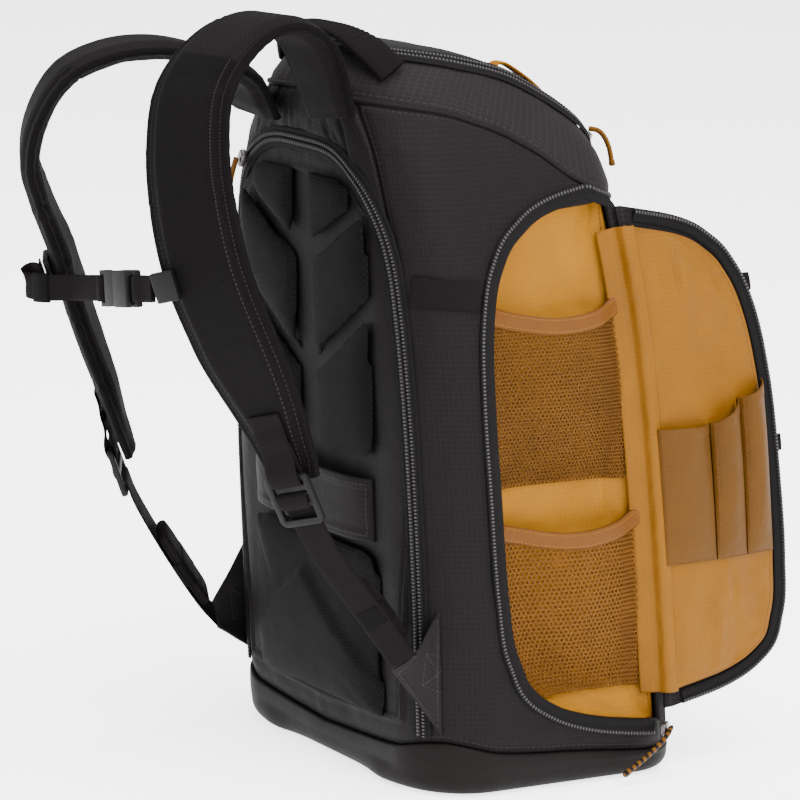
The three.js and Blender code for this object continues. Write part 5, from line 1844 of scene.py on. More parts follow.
@dataclass
class SidePocket:
    """Lining, two net pockets with bound tops, and the zip round the mouth."""

    form: BagForm = FORM
    sunk: float = 6.9
    bowl: float = 20.0
    rim: float = 0.012
    net_thick: float = 1.0
    nets: dict[str, tuple] = field(default_factory=lambda: {"upper": (212, 328), "lower": (62, 178)})

    def floor(self, u: Array, v: Array) -> Array:
        """Height of the lining's face: a flat-bottomed bowl."""
        share = (1 - np.abs(2 * u - 1) ** 6) * (1 - np.abs(2 * v - 1) ** 8)
        return -self.sunk - self.bowl * np.maximum(0, share)

    def lining(self) -> None:
        """Lining with creases that run down from its top and into its corners."""
        low, tall = self.form.mouth_low, self.form.mouth_height
        high_at = lambda v: low + tall * lerp(-self.rim, 1 + self.rim, v)

        def face(u: Array, v: Array, out: Array) -> Array:
            """Point of the lining."""
            z = high_at(v)
            wide = self.form.mouth_reach(np.clip(z, low, low + tall)) + 2 * self.rim * tall
            return self.form.beside(wide * u - self.rim * tall, z, out)

        def height(u: Array, v: Array) -> Array:
            """Bowl with creases in its middle."""
            middle = smoothstep(np.minimum(np.minimum(u, 1 - u) * 120, np.minimum(v, 1 - v) * 370), 4, 22)
            fold = creases(u * 2.2 + v * 1.1, v * 5.5 - u * 1.2, 91) * 1.6
            drag = 0.9 * soft_noise(u * 7 + v * 3, v * 9, 93)
            return self.floor(u, v) + middle * (fold + drag) - 0.2

        flat = lambda u, v: np.stack([u * self.form.mouth_width, high_at(v)], -1)
        piece = slab("pocket_lining_cloth", face, flat, height, 1.2, 90, 240)
        dress(piece, TAN, "tan_lining", "pocket_liner")

    def net(self, row: str, finish: Finish) -> None:
        """Net pocket that bellies out from the lining, and the bound edge along its top."""
        low, high = self.nets[row]
        tall, base = self.form.mouth_height, self.form.mouth_low
        top = lambda u: high + 12 * (1 - np.sin(np.pi * u))
        level = lambda u, v: lerp(low, top(u), v)
        across = lambda u: lerp(0.03, 0.97, u)

        def belly(u: Array, v: Array) -> Array:
            """Height of the net: over the lining, with a belly and small drags."""
            s = across(u)
            z = level(s, v)
            swell = 20 * np.sin(np.pi * s) ** 0.8 * np.sin(np.pi / 2 * np.minimum(1, v * 1.6))
            drag = 0.8 * soft_noise(u * 5, v * 4, 97) * np.sin(np.pi * u)
            return self.floor(s, (z - base) / tall) + 2.3 + swell + drag

        def face(u: Array, v: Array, out: Array) -> Array:
            """Point of the net."""
            s = across(u)
            z = level(s, v)
            return self.form.beside(self.form.mouth_reach(z) * s, z, out)

        flat = lambda u, v: np.stack([across(u) * self.form.mouth_width, level(across(u), v)], -1)
        piece = slab(f"net_cloth_{row}", face, flat, belly, self.net_thick, 70, 70)
        dress(piece, finish, "tan_mesh", f"net_pocket_{row}")

        start = 1 - 10.5 / (high - low)
        shift = lambda v: lerp(start, 1.012, v)
        pad = lambda v: 1.5 * np.clip(1 - np.abs(2 * v - 1) ** 4, 0, 1) ** 0.5
        bound = slab(
            f"net_bound_{row}",
            lambda u, v, out: face(u, shift(v), out),
            lambda u, v: np.stack([across(u) * self.form.mouth_width, v * 11], -1),
            lambda u, v: belly(u, shift(v)) + 0.4 + pad(v),
            1.9, 110, 12)
        dress(bound, BINDING, "tan_binding", f"net_binding_{row}")

    def build(self) -> None:
        """Builds the whole side pocket."""
        self.lining()
        self.net("upper", NET_FINE)
        self.net("lower", NET_COARSE)
        v = np.linspace(0.004, 0.999, 500)
        z = self.form.mouth_low + self.form.mouth_height * v
        reach = MOUTH(v)[:, 0] * self.form.mouth_width
        w, h = inside(reach, z, -5.6)
        top = self.form.seam(self.form.behind_hinge(h, w)) - 6
        h = np.minimum(h, top)
        path = self.form.beside(w, h, 1.6)
        out = self.form.beside(w, h, 2.6) - path
        Zip(width=11).build("pocket_zip_half", path, out, PAINTED_GLINT_COIL, "coil_zip", Teeth.LEFT_HALF, "pocket_zip")


# Opened flap

@dataclass
class Flap:
    """The pocket's opened flap: outer cloth, zip edge, lining, three slip pockets and two tabs."""

    form: BagForm = FORM
    angle: float = 97.0
    thick: float = 4.0
    width: float = 115.0
    low: float = 44.0
    tall: float = 354.0
    inset: float = 13.0
    swell: float = 5.0

    def reach(self, z: Array) -> Array:
        """Distance from the hinge to the flap's edge at a height."""
        return MOUTH((np.asarray(z, float) - self.low) / self.tall)[..., 0] * self.width

    def at(self, distance: Array, z: Array, out: Array) -> Array:
        """Point of the flap: the hinge on the bag's corner, and straight steps along and out from it.

        Args:
            distance: distance from the hinge.
            z: height.
            out: distance towards the lined face.

        Returns:
            The point.
        """
        distance, z, out = same_shape(distance, z, out)
        turn = math.radians(self.angle)
        along = np.array([math.cos(turn), math.sin(turn), 0])
        face = np.array([math.sin(turn), -math.cos(turn), 0])
        hinge = self.form.wall(self.form.seam_station, z, 3.7)
        return hinge + along * distance[..., None] + face * out[..., None]

    def heights(self, count: int) -> Array:
        """Shares of the flap's height, close together where its edge turns most."""
        marks = np.array(MOUTH_ROWS)[:, 0]
        return np.interp(np.linspace(0, len(marks) - 1, count), np.arange(len(marks)), marks)

    def cloth(self) -> None:
        """Outer cloth: its back is drawn in at its edge and creased."""
        u, v = grid(np.linspace(0, 1, 50), self.heights(190))
        z = self.low + self.tall * v
        w = u * self.reach(z)
        flat = np.stack([w, z], -1)
        edge = edge_distance(flat)
        fold = 0.5 * creases(w / 50, z / 60, 101) * smoothstep(edge, 3, 25)
        back = -self.thick - 0.6 * smoothstep(edge, 0, 8) - fold
        rim = 1 - smoothstep(edge, 0, 2.0)
        piece = make_skin("flap_cloth", self.at(w, z, back + 1.2 * rim), self.at(w, z, -0.9 * rim))
        lay_cloth(piece, flat, edge)
        dress(piece, BLACK, "black_ripstop", "side_flap")

    def puff(self, w: Array, z: Array) -> Array:
        """Height of the lining's swell."""
        across = np.clip(w / (self.reach(z) - self.inset), 0, 1)
        up = np.clip((z - self.low - self.inset) / (self.tall - 2 * self.inset), 0, 1)
        return self.swell * np.sin(np.pi * across) * np.sin(np.pi * up)

    def lining(self) -> None:
        """Lining with vertical drags and soft creases."""
        v = self.heights(240)
        edge_w, edge_z = inside(MOUTH(v)[:, 0] * self.width, self.low + self.tall * v, self.inset)
        u, z = grid(np.linspace(0, 1, 70), edge_z)
        w = lerp(1.0, np.maximum(edge_w, 1.2), u)
        flat = np.stack([w, z], -1)
        edge = edge_distance(flat)
        drape = soft_noise(w / 11 + 0.8 * soft_noise(w / 40, z / 60, 115), z / 90, 113)
        calm = 1 - 0.8 * smoothstep(z, 134, 150) * smoothstep(z, 290, 268)
        fold = calm * (2.6 * creases(w / 42 + z / 130, z / 90, 111) + 3.2 * drape)
        fold = fold + 1.1 * soft_noise(z / 7, w / 26, 119) * np.exp(-((edge - 7) / 6) ** 2)
        out = 2.5 + self.puff(w, z) + smoothstep(edge, 2, 16) * fold
        piece = make_skin("flap_lining_cloth", self.at(w, z, out), self.at(w, z, 0.9))
        lay_cloth(piece, flat, edge)
        dress(piece, TAN_FLAP_SHADED, "tan_lining", "flap_lining")

    def hinge(self) -> None:
        """Lining that runs over the hinge, from inside the pocket onto the flap."""
        t, v = grid(np.linspace(0, 1, 26), np.linspace(0, 1, 150))
        z = lerp(self.low + 12.0, self.low + self.tall - 13.0, v)
        line = z[0]
        marks = [self.form.beside(8.0, line, -13.0), self.form.beside(3.0, line, -6.5),
                 self.form.beside(-1.5, line, -0.6), self.at(-0.5, line, 2.6), self.at(3.5, line, 3.6),
                 self.at(8.5, line, 2.4)]
        weight = lambda k: np.maximum(0, 1 - np.abs(t * (len(marks) - 1) - k))[..., None]
        points = sum(weight(k) * mark[None] for k, mark in enumerate(marks))
        for _ in range(5):
            points[1:-1] = (points[:-2] + 2 * points[1:-1] + points[2:]) / 4
        facing = unit(np.cross(np.gradient(points, axis=1), np.gradient(points, axis=0)))
        facing *= np.sign(facing[..., :1] + 1e-9)
        wave = 0.3 * soft_noise(t * 3, v * 16, 117) * np.sin(np.pi * t)
        outer = points + facing * (1.4 + wave)[..., None]
        piece = make_skin("hinge_lining_cloth", outer, points - facing * 0.5)
        lay_cloth(piece, np.stack([t * 26.0, z], -1), np.full(z.shape, 30.0))
        dress(piece, TAN_FLAP_SHADED, "tan_lining")

    def pockets(self) -> None:
        """Slip pocket and two pen pockets, each a cloth that swells from its sewn sides."""
        pockets = {
            "slip": (0.03, 0.4, 245, 246, 8.0),
            "pen_inner": (0.41, 0.65, 246, 261, 10.5),
            "pen_outer": (0.66, 0.88, 261, 272, 10.5),
        }
        for number, (name, (first, last, top_a, top_b, swell)) in enumerate(pockets.items()):
            across = lambda u: lerp(first, last, u) * self.width
            level = lambda u, v: lerp(148.0, lerp(top_a, top_b, u), v)

            def out(u: Array, v: Array) -> Array:
                """Height over the flap: the lining, the swell, drags, and a hem along the top."""
                w, z = across(u), level(u, v)
                belly = swell * np.sin(np.pi * u) ** 0.7 * np.sin(np.pi / 2 * v) ** 0.5
                drag = 1.0 * soft_noise(u * 3 + number * 5, v * 5, 121) * np.sin(np.pi * u) * v
                hem = 0.7 * smoothstep((1 - v) * 100, 8.0, 7.0)
                return 2.5 + self.puff(w, z) + 2.2 + belly + drag + hem

            face = lambda u, v, height: self.at(across(u), level(u, v), height)
            flat = lambda u, v: np.stack([across(u), level(u, v)], -1)
            piece = slab(f"flap_pocket_{name}_cloth", face, flat, out, 1.4, 44, 64)
            dress(piece, TAN_POCKET_SHADED, "tan_lining", f"flap_pocket_{name}")

    def edge_zip(self) -> None:
        """Half of the zip along the flap's edge, its teeth outward."""
        v = np.linspace(0.004, 0.996, 500)
        w, z = inside(MOUTH(v)[:, 0] * self.width, self.low + self.tall * v, 5.5)
        w = np.maximum(w, 1)
        path = self.at(w, z, 0.9)
        out = self.at(w, z, 1.9) - path
        Zip(width=10.4).build("flap_zip_half", path, out, PAINTED_GLINT_COIL, "coil_zip", Teeth.RIGHT_HALF, "flap_zip")

    def tabs(self) -> None:
        """Two webbing tabs sewn to the back of the flap's edge."""
        for name, height in (("upper", 338.0), ("lower", 222.0)):
            edge = float(self.reach(height))
            reach = lambda u: edge + lerp(-17.0, 9.5, u)
            face = lambda u, v, out: self.at(reach(u), height + (v - 0.5) * 12, out)
            flat = lambda u, v: np.stack([v * 12, reach(u)], -1)
            out = lambda u, v: -6.3 + 0.5 * np.sin(np.pi * v)
            piece = slab(f"flap_tab_{name}_webbing", face, flat, out, 1.4, 20, 10)
            dress(piece, WEBBING, "webbing", f"flap_tab_{name}")

    def build(self) -> None:
        """Builds the whole flap."""
        self.cloth()
        self.lining()
        self.hinge()
        self.pockets()
        self.edge_zip()
        self.tabs()


# Shoulder straps and their webbing

STRAP_ROUTE = {
    "right": [
        (56, -134.9, 464), (53, -141, 492), (53, -153, 516), (55, -176, 529), (58, -200, 527),
        (63, -226, 511), (70, -246, 486), (78, -254, 450), (84, -254, 417), (92, -247, 371),
        (98, -229, 323), (102, -205, 274), (105, -184, 226),
    ],
    "left": [
        (-56, -134.5, 456), (-54, -147, 480), (-53, -176, 496), (-57, -212, 504), (-63, -247, 501),
        (-70, -276, 487), (-76, -294, 456), (-80, -297, 427), (-84, -289, 405), (-90, -268, 361),
        (-95, -254, 324), (-100, -233, 272), (-104, -209, 212),
    ],
}
ADJUSTER_ROUTE = {
    "right": [(114, -166, 172), (124, -144, 139), (134, -127, 112), (139, -120, 100)],
    "left": [(-110, -200, 172), (-118, -173, 132), (-128, -142, 92), (-134, -126, 76)],
}
STERNUM_LOOP = [(-49, -279, 341), (-68, -292, 339), (-82, -294, 338), (-91, -295, 339), (-94, -290, 344)]


@dataclass(frozen=True)
class StrapCloth(Finish):
    """Padded strap's face: spotted mesh over the shoulder, plain cloth below, bound edges all along."""

    name: str
    mesh_to: float

    def build(self) -> Material:
        """Mesh and cloth told apart by the length along the strap, and the binding by its width."""
        s = Shader(self.name)
        u, v = s.cloth()
        upper = v.ramp(self.mesh_to + 1, self.mesh_to - 1)
        cross = v.line(self.mesh_to + 15, 26)
        edge = s.edge()
        bound = edge.ramp(7.2, 6.6)
        holes = mesh_holes(u, v, 4.4, 0.3) * upper * (1 - bound)
        weave = threads(u, v, 0.9)
        thick = cells(u, v, 3.6)
        cloud = s.noise(30, 4)
        share = weave * 0.25 + thick * 0.35 * (1 - upper) + cloud * 0.4
        colour = s.mix(share, tone(4, 3, 3), tone(12, 10, 11))
        colour = s.mix(upper * 0.55 * (1 - bound), colour, tone(22, 19, 20))
        colour = s.mix(cross * 0.7, colour, tone(4, 3, 3))
        ribs = (u + v).wave(1.4)
        colour = s.mix(bound, colour, s.mix(ribs * 0.6 + cloud * 0.3, tone(4, 3, 3), tone(10, 8, 9)))
        # The mesh holes take the flat hole colour: painted shade in their depth.
        colour = s.mix(holes, colour, HOLE_SHADE)
        bars = v.wave(3.4).ramp(0.25, 0.45)
        seam = (edge.line(5.6, 0.9) * bars).most(edge.line(11.5, 0.9) * bars * (1 - upper))
        colour = s.mix(seam, colour, tone(30, 26, 27))
        normal = s.bump(weave * 0.4 + thick * 0.3 + bound * ribs * 0.5 - holes, 0.35)
        normal = s.bump(s.noise(60, 3), 1.0, normal)
        normal = s.bump(seam, 0.4, normal)
        return s.finish(base_color=colour, roughness=0.7 + cloud * 0.15 + upper * 0.08, normal=normal,
                        specular_ior_level=0.04)


def strap_across(sign: int, share: Array) -> Array:
    """Direction across a shoulder strap at a share of its length."""
    turn = np.radians(32 * np.minimum(1, np.asarray(share) * 1.3))
    return np.stack([np.cos(turn), sign * np.sin(turn), 0 * turn], -1)


@dataclass
class Harness:
    """Both shoulder straps with their buckles' webbing, tails, keepers, corner tabs and sternum strap."""

    form: BagForm = FORM
    width: float = 70.0
    tip: float = 44.0
    thick: float = 14.0
    buckle: float = 38.0
    web: float = 25.0
    web_thick: float = 1.6
    length: float = 620.0
    mesh_to: dict[str, float] = field(default_factory=lambda: {"right": 268.0, "left": 250.0})

    def pad(self, side: str, sign: int) -> tuple[Array, Array, Array]:
        """Padded strap: a soft oval section with bound edges, carried along its route.

        The section's half height is a flat oval that falls to a thin bound edge, and small
        gathers ripple its sides where it bends.

        Args:
            side: right or left.
            sign: 1 on the right and -1 on the left.

        Returns:
            The strap's end, its direction up the strap there, and the direction across.
        """
        path = spline(STRAP_ROUTE[side], 260)
        share = np.linspace(0, 1, len(path))
        across = strap_across(sign, share)
        taper = smoothstep(share, 0.84, 1)
        half = lerp(self.width, self.tip, taper) / 2
        half = half * (1 - 0.16 * smoothstep(share, 0.972, 1.0) ** 2)
        columns = 40
        s = np.sin(np.linspace(-1, 1, columns) * np.pi / 2)
        x = s[None, :] * half[:, None]
        edge = half[:, None] - np.abs(x)
        run = share[:, None] * self.length
        body = smoothstep(edge, 5.5, 15) ** 0.8
        bound = 2.9 * np.clip(1 - np.clip((3.2 - edge) / 3.2, 0, 1) ** 2, 0, 1) ** 0.5
        bend = np.linalg.norm(np.gradient(np.gradient(path, axis=0), axis=0), axis=1)
        bend = smoothstep(bend, 0.02, 0.10)[:, None]
        ripple = np.sin(run / 15.5 * 2 * np.pi + np.sign(x) * 0.7) * (1 - smoothstep(edge, 6, 20))
        ends = smoothstep(share, 0.93, 0.985), 1 - smoothstep(share, 0.0, 0.035)
        full = (1 - 0.6 * ends[0] - 0.6 * ends[1])[:, None]
        filling = (self.thick / 2 - 2.7) * body * full
        step = 1.1 * np.exp(-((run - self.mesh_to[side]) / 2.0) ** 2) * body
        folds = 0.55 * soft_noise(run / 22, x / 26, 131 + sign) * body
        upper = bound + filling + 0.45 * ripple * (0.35 + bend) + folds - step
        lower = bound + filling * 0.92 + 0.55 * ripple * bend
        outer = np.stack([x, upper], -1)
        inner = np.stack([x, -lower], -1)[:, ::-1]
        rings = band_rings(path, across, np.concatenate([outer, inner], 1))
        piece = make_sweep(f"shoulder_pad_{side}", rings)
        both = lambda rows: np.concatenate([rows, rows[:, ::-1]], 1)
        uv = np.stack(np.broadcast_arrays(both(x) + 40, run), -1).reshape(-1, 2)
        set_map(piece, np.vstack([uv, uv[:1], uv[-1:]]) * MM)
        give_values(piece, "edge", np.append(both(edge), [20, 20]))
        finish = StrapCloth(f"strap_cloth_{side}", self.mesh_to[side])
        dress(piece, finish, "black_ripstop", f"shoulder_strap_{side}")
        end = path[-1]
        up = unit(spline(STRAP_ROUTE[side], 30)[-2] - end)
        flat = strap_across(sign, np.array(1.0))
        return end, up, unit(flat - up * np.dot(flat, up))

    def strip(self, name: str, path: Array, across: Array, width: float, node: str) -> Piece:
        """Webbing along a path, its thickness to both sides of it.

        Args:
            name: the piece's name.
            path: points that the webbing bends round.
            across: direction across it.
            width: its width.
            node: the solid that it stands for.

        Returns:
            The piece.
        """
        fine = rounded(path, 2)
        fine, side = evenly(fine, 1.6, (np.broadcast_to(across, fine.shape),))
        thick = self.web_thick
        piece = make_sweep(name, band_rings(fine, side, flat_profile(width, thick, -thick / 2, 10, 0.5)))
        return dress(piece, WEBBING, "webbing", node)

    def lower(self, side: str, end: Array, up: Array, across: Array) -> None:
        """Buckle's loops, the adjusting webbing, and its rolled tail with a keeper.

        Args:
            side: right or left.
            end: the strap's end.
            up: direction up the strap there.
            across: direction across the strap there.
        """
        out = np.cross(across, up)
        web = self.web_thick
        centre = end + up * (9 - self.buckle / 2) + out * (self.thick / 2 + 2 + web + 1.2)
        local = lambda rows: np.array([centre + up * y + out * n for y, n in rows])
        top, bar = self.buckle / 2, self.buckle / 2 - 5
        clear = 2 + web / 2 + 0.6
        double = clear - web - 0.3
        tab = local([(top + 22, -clear), (bar + 1, -clear), (bar - 2.4, -clear * 0.8), (bar - 3.6, 0),
                     (bar - 2.4, clear * 0.8), (bar + 1, clear), (top + 2, clear), (top + 13.2, -double),
                     (top + 26.4, -double), (top + 33, -clear), (top + 44, -clear)])
        self.strip(f"buckle_loop_{side}", tab, across, self.web, f"strap_tab_{side}")

        route = np.array(ADJUSTER_ROUTE[side], float)
        slots = local([(5.1, -1), (4.9, clear * 0.7), (0.5, clear), (-4.7, clear * 0.9), (-6.5, 0),
                       (-7.5, -clear * 0.75), (-9.5, -clear), (-top - 2, -clear)])
        lower = spline(np.vstack([slots[-1:], route]), 12)
        path = np.vstack([slots, lower[1:]])
        self.strip(f"adjuster_{side}", path, across, self.web, f"adjuster_webbing_{side}")

        run = spline(np.vstack([slots[-1:], route]), 120)[50:91]
        share = np.linspace(0, 1, len(run))
        roll = 1 - 0.12 * np.abs(2 * share - 1) ** 6
        wide, high = oval(40, self.web / 2, 4.0, 0.35, 0.55).T
        high = 4.0 + high
        sides = np.abs(np.cos(np.linspace(0, 2 * np.pi, 41)[:-1])) > 0.8
        layer = 0.35 * np.cos(high * 2 * np.pi / 1.7) * sides
        profile = np.stack([(wide + layer) * roll[:, None], web / 2 + 0.35 + high * roll[:, None]], -1)
        piece = make_sweep(f"rolled_tail_{side}", band_rings(run, across, profile))
        dress(piece, WEBBING, "webbing", f"webbing_tail_{side}")
        middle = run[14:27]
        band = np.stack([wide * 1.07, web / 2 + 3.4 + (high - 4.0) * 1.32], -1)
        keeper = make_sweep(f"tail_keeper_{side}", band_rings(middle, across, band))
        dress(keeper, Webbing("elastic", tone(5, 4, 5), tone(13, 11, 12), 1.1), "webbing")

    def corner(self, side: str, sign: int, across: Array) -> None:
        """Corner tab: a triangle from the adjusting webbing's end to a line down the bag's side.

        Args:
            side: right or left.
            sign: 1 on the right and -1 on the left.
            across: direction across the strap's end.
        """
        web = self.web_thick
        before, apex = np.array(ADJUSTER_ROUTE[side][-2:], float)
        last = unit(apex - before)
        tab_side = unit(across - last * np.dot(across, last))
        low, high_z = 44.0, 132.0

        def middle_at(u: Array, v: Array) -> Array:
            """Middle of the triangular tab: from the webbing's end to a line down the bag's side."""
            edge = self.form.wall(sign * 1.5, lerp(low, high_z, v), 0.3 + web / 2)
            start = apex + last * web + tab_side * (sign * (v - 0.5) * self.web)[..., None]
            return lerp(start, edge, u[..., None])

        u, v = grid(np.linspace(0, 1, 50), np.linspace(0, 1, 50))
        normal = surface_normal(middle_at, u, v, 0.01, 0.01)
        half = np.full(2, 0.5)
        span = np.linalg.norm(np.subtract(*middle_at(np.array([1.0, 0.0]), half)))
        flat = np.stack([(v - 0.5) * lerp(self.web, high_z - low, u), u * span], -1)
        fold = 0.5 * creases(flat[..., 0] / 30, flat[..., 1] / 22, 141) * np.sin(np.pi * u)
        edge = edge_distance(flat)
        hem = 0.6 * np.exp(-((edge - 1.6) / 1.6) ** 2)
        middle_points = middle_at(u, v) + normal * fold[..., None]
        reach = normal * (web / 2 + hem)[..., None]
        piece = make_skin(f"corner_gusset_{side}", middle_points + reach, middle_points - reach)
        lay_cloth(piece, flat + CornerCloth.shift, edge)
        dress(piece, CornerCloth("corner_cloth"), "webbing", f"corner_tab_{side}")

    def patch(self) -> None:
        """Bare stitched patch on the right strap's tip."""
        path = spline(STRAP_ROUTE["right"], 260)
        share = np.linspace(0, 1, 261)
        pick = (share > 0.905) & (share < 0.952)
        run, side = evenly(path[pick], 1.2, (strap_across(1, share[pick]),))
        lift = self.thick / 2 + 0.1
        rings = band_rings(run, side, flat_profile(22, 1.0, lift, 16, 0.5))
        piece = make_sweep("strap_patch", rings)
        dress(piece, Binding("patch_cloth", tone(9, 7, 8), tone(20, 18, 18), 1.6), "webbing")

    def sternum(self) -> None:
        """Webbing of the sternum strap, looped through both halves of its buckle."""
        clips = {}
        for side, sign, inset, share in (("right", 1, 29, 0.756), ("left", -1, 14, 0.759)):
            at = lambda t: spline_at(STRAP_ROUTE[side], t)
            up = unit(at(share - 0.01) - at(share + 0.01))
            flat = strap_across(sign, np.array(share))
            across = unit(flat - up * np.dot(flat, up))
            out = np.cross(across, up)
            point = at(share) - across * sign * inset + out * (self.thick / 2 + 0.3 + 2.5)
            clips[side] = point - across * sign * 9.3
            if side == "left":
                face = out * (2.5 + 1.8 + 0.8)
                landing = np.stack([clips["left"] + face, point + face])
                landing_up = up
        start = clips["right"]
        first = np.array(STERNUM_LOOP[0], float)
        along = unit(first - start)
        upright = np.array([0, 0, 1.0])
        upright = unit(upright - along * np.dot(upright, along))
        middle = lerp(start, first, 0.4)
        outwards = np.cross(along, upright)
        clear = 2.5 + 0.8 + 0.6
        apart = 0.95
        bar = [(9, -apart), (3.2, -clear), (-1.6, -clear * 0.9), (-3.2, 0), (-1.6, clear * 0.9), (3.2, clear),
               (9, apart)]
        loop = lambda turn: np.array([middle + along * turn * (23 + d) + outwards * n * turn for d, n in bar])
        legs = [start + along * 2 + outwards * n * apart for n in (1, -1)]
        path = np.vstack([legs[0], loop(-1), legs[1]])
        self.strip("sternum_web_right", path, upright, 18.0, "sternum_webbing_right")
        curve = spline(np.vstack([STERNUM_LOOP, landing]), 16)
        path = np.vstack([loop(1), curve])
        turn = np.clip((np.arange(len(path)) - (len(path) - 6)) / 4, 0, 1)[:, None]
        side = unit(lerp(upright, landing_up, turn))
        fine = rounded(path, 2)
        index = np.linspace(0, len(path) - 1, len(fine))
        fine_side = np.stack([np.interp(index, np.arange(len(path)), column) for column in side.T], -1)
        fine, fine_side = evenly(fine, 1.6, (fine_side,))
        profile = flat_profile(18.0, 1.6, -0.8, 10, 0.5)
        piece = make_sweep("sternum_web_left", band_rings(fine, fine_side, profile))
        dress(piece, WEBBING, "webbing", "sternum_webbing_left")
        near = np.argmin(np.linalg.norm(fine - np.array([-72, -292.5, 338.7]), axis=1))
        part = slice(near - 5, near + 6)
        profile = flat_profile(20.4, 3.6, -1.8, 12, 0.3)
        keeper = make_sweep("sternum_keeper", band_rings(fine[part], fine_side[part], profile))
        dress(keeper, Webbing("elastic_narrow", tone(5, 4, 5), tone(13, 11, 12), 1.1), "webbing")

    def build(self) -> None:
        """Builds both straps and the sternum strap."""
        for side, sign in (("right", 1), ("left", -1)):
            end, up, across = self.pad(side, sign)
            self.lower(side, end, up, across)
            self.corner(side, sign, across)
            if side == "right":
                self.patch()
        self.sternum()


def spline_at(points: Sequence[Sequence[float]], share: float, count: int = 1200) -> Array:
    """Point of a smooth curve at a share of its length in its points' own count.

    Args:
        points: the points that the curve passes through.
        share: the share.
        count: number of steps that the curve is worked out in.

    Returns:
        The point.
    """
    curve = spline(points, count)
    low = int(share * count)
    return lerp(curve[low], curve[low + 1], share * count - low)


@dataclass(frozen=True)
class CornerCloth(Finish):
    """Triangular webbing tab with a stitched box and cross near the bag's side.

    Attributes:
        name: the material's name.
        shift: millimetres by which the piece's map is moved, so that it starts above zero.
    """

    name: str
    shift: float = 50.0

    def build(self) -> Material:
        """Ribs and a sewn outline, with a box and its diagonals drawn as stitches."""
        s = Shader(self.name)
        u, v = s.cloth()
        x, y = u - self.shift, v - self.shift
        ribs = (y + x.wave(4.2)).wave(1.5)
        cloud = s.noise(45, 3)
        colour = s.mix(ribs * 0.5 + cloud * 0.35, tone(7, 5, 6), tone(19, 16, 17))
        half, low, high = 13.0, 16.0, 38.0
        inside = abs(x).ramp(half + 0.5, half - 0.1) * y.ramp(low - 0.5, low) * y.ramp(high + 0.5, high)
        box = abs(abs(x) - half).ramp(0.7, 0.3) + abs(y - low).ramp(0.7, 0.3) + abs(y - high).ramp(0.7, 0.3)
        rise = (x + half) * ((high - low) / (2 * half))
        cross = abs(y - low - rise).ramp(0.8, 0.3) + abs(high - y - rise).ramp(0.8, 0.3)
        seam = ((box + cross) * inside).least(1.0) * (x + y).wave(3.0).ramp(0.2, 0.4)
        seam = seam.most(stitches(s, u, v, 3.2))
        colour = s.mix(seam, colour, tone(34, 30, 31))
        normal = s.bump(ribs, 0.28)
        normal = s.bump(seam, 0.5, normal)
        return s.finish(base_color=colour, roughness=0.62 + cloud * 0.14, normal=normal,
                        specular_ior_level=0.1)


# Hardware, handle and trim

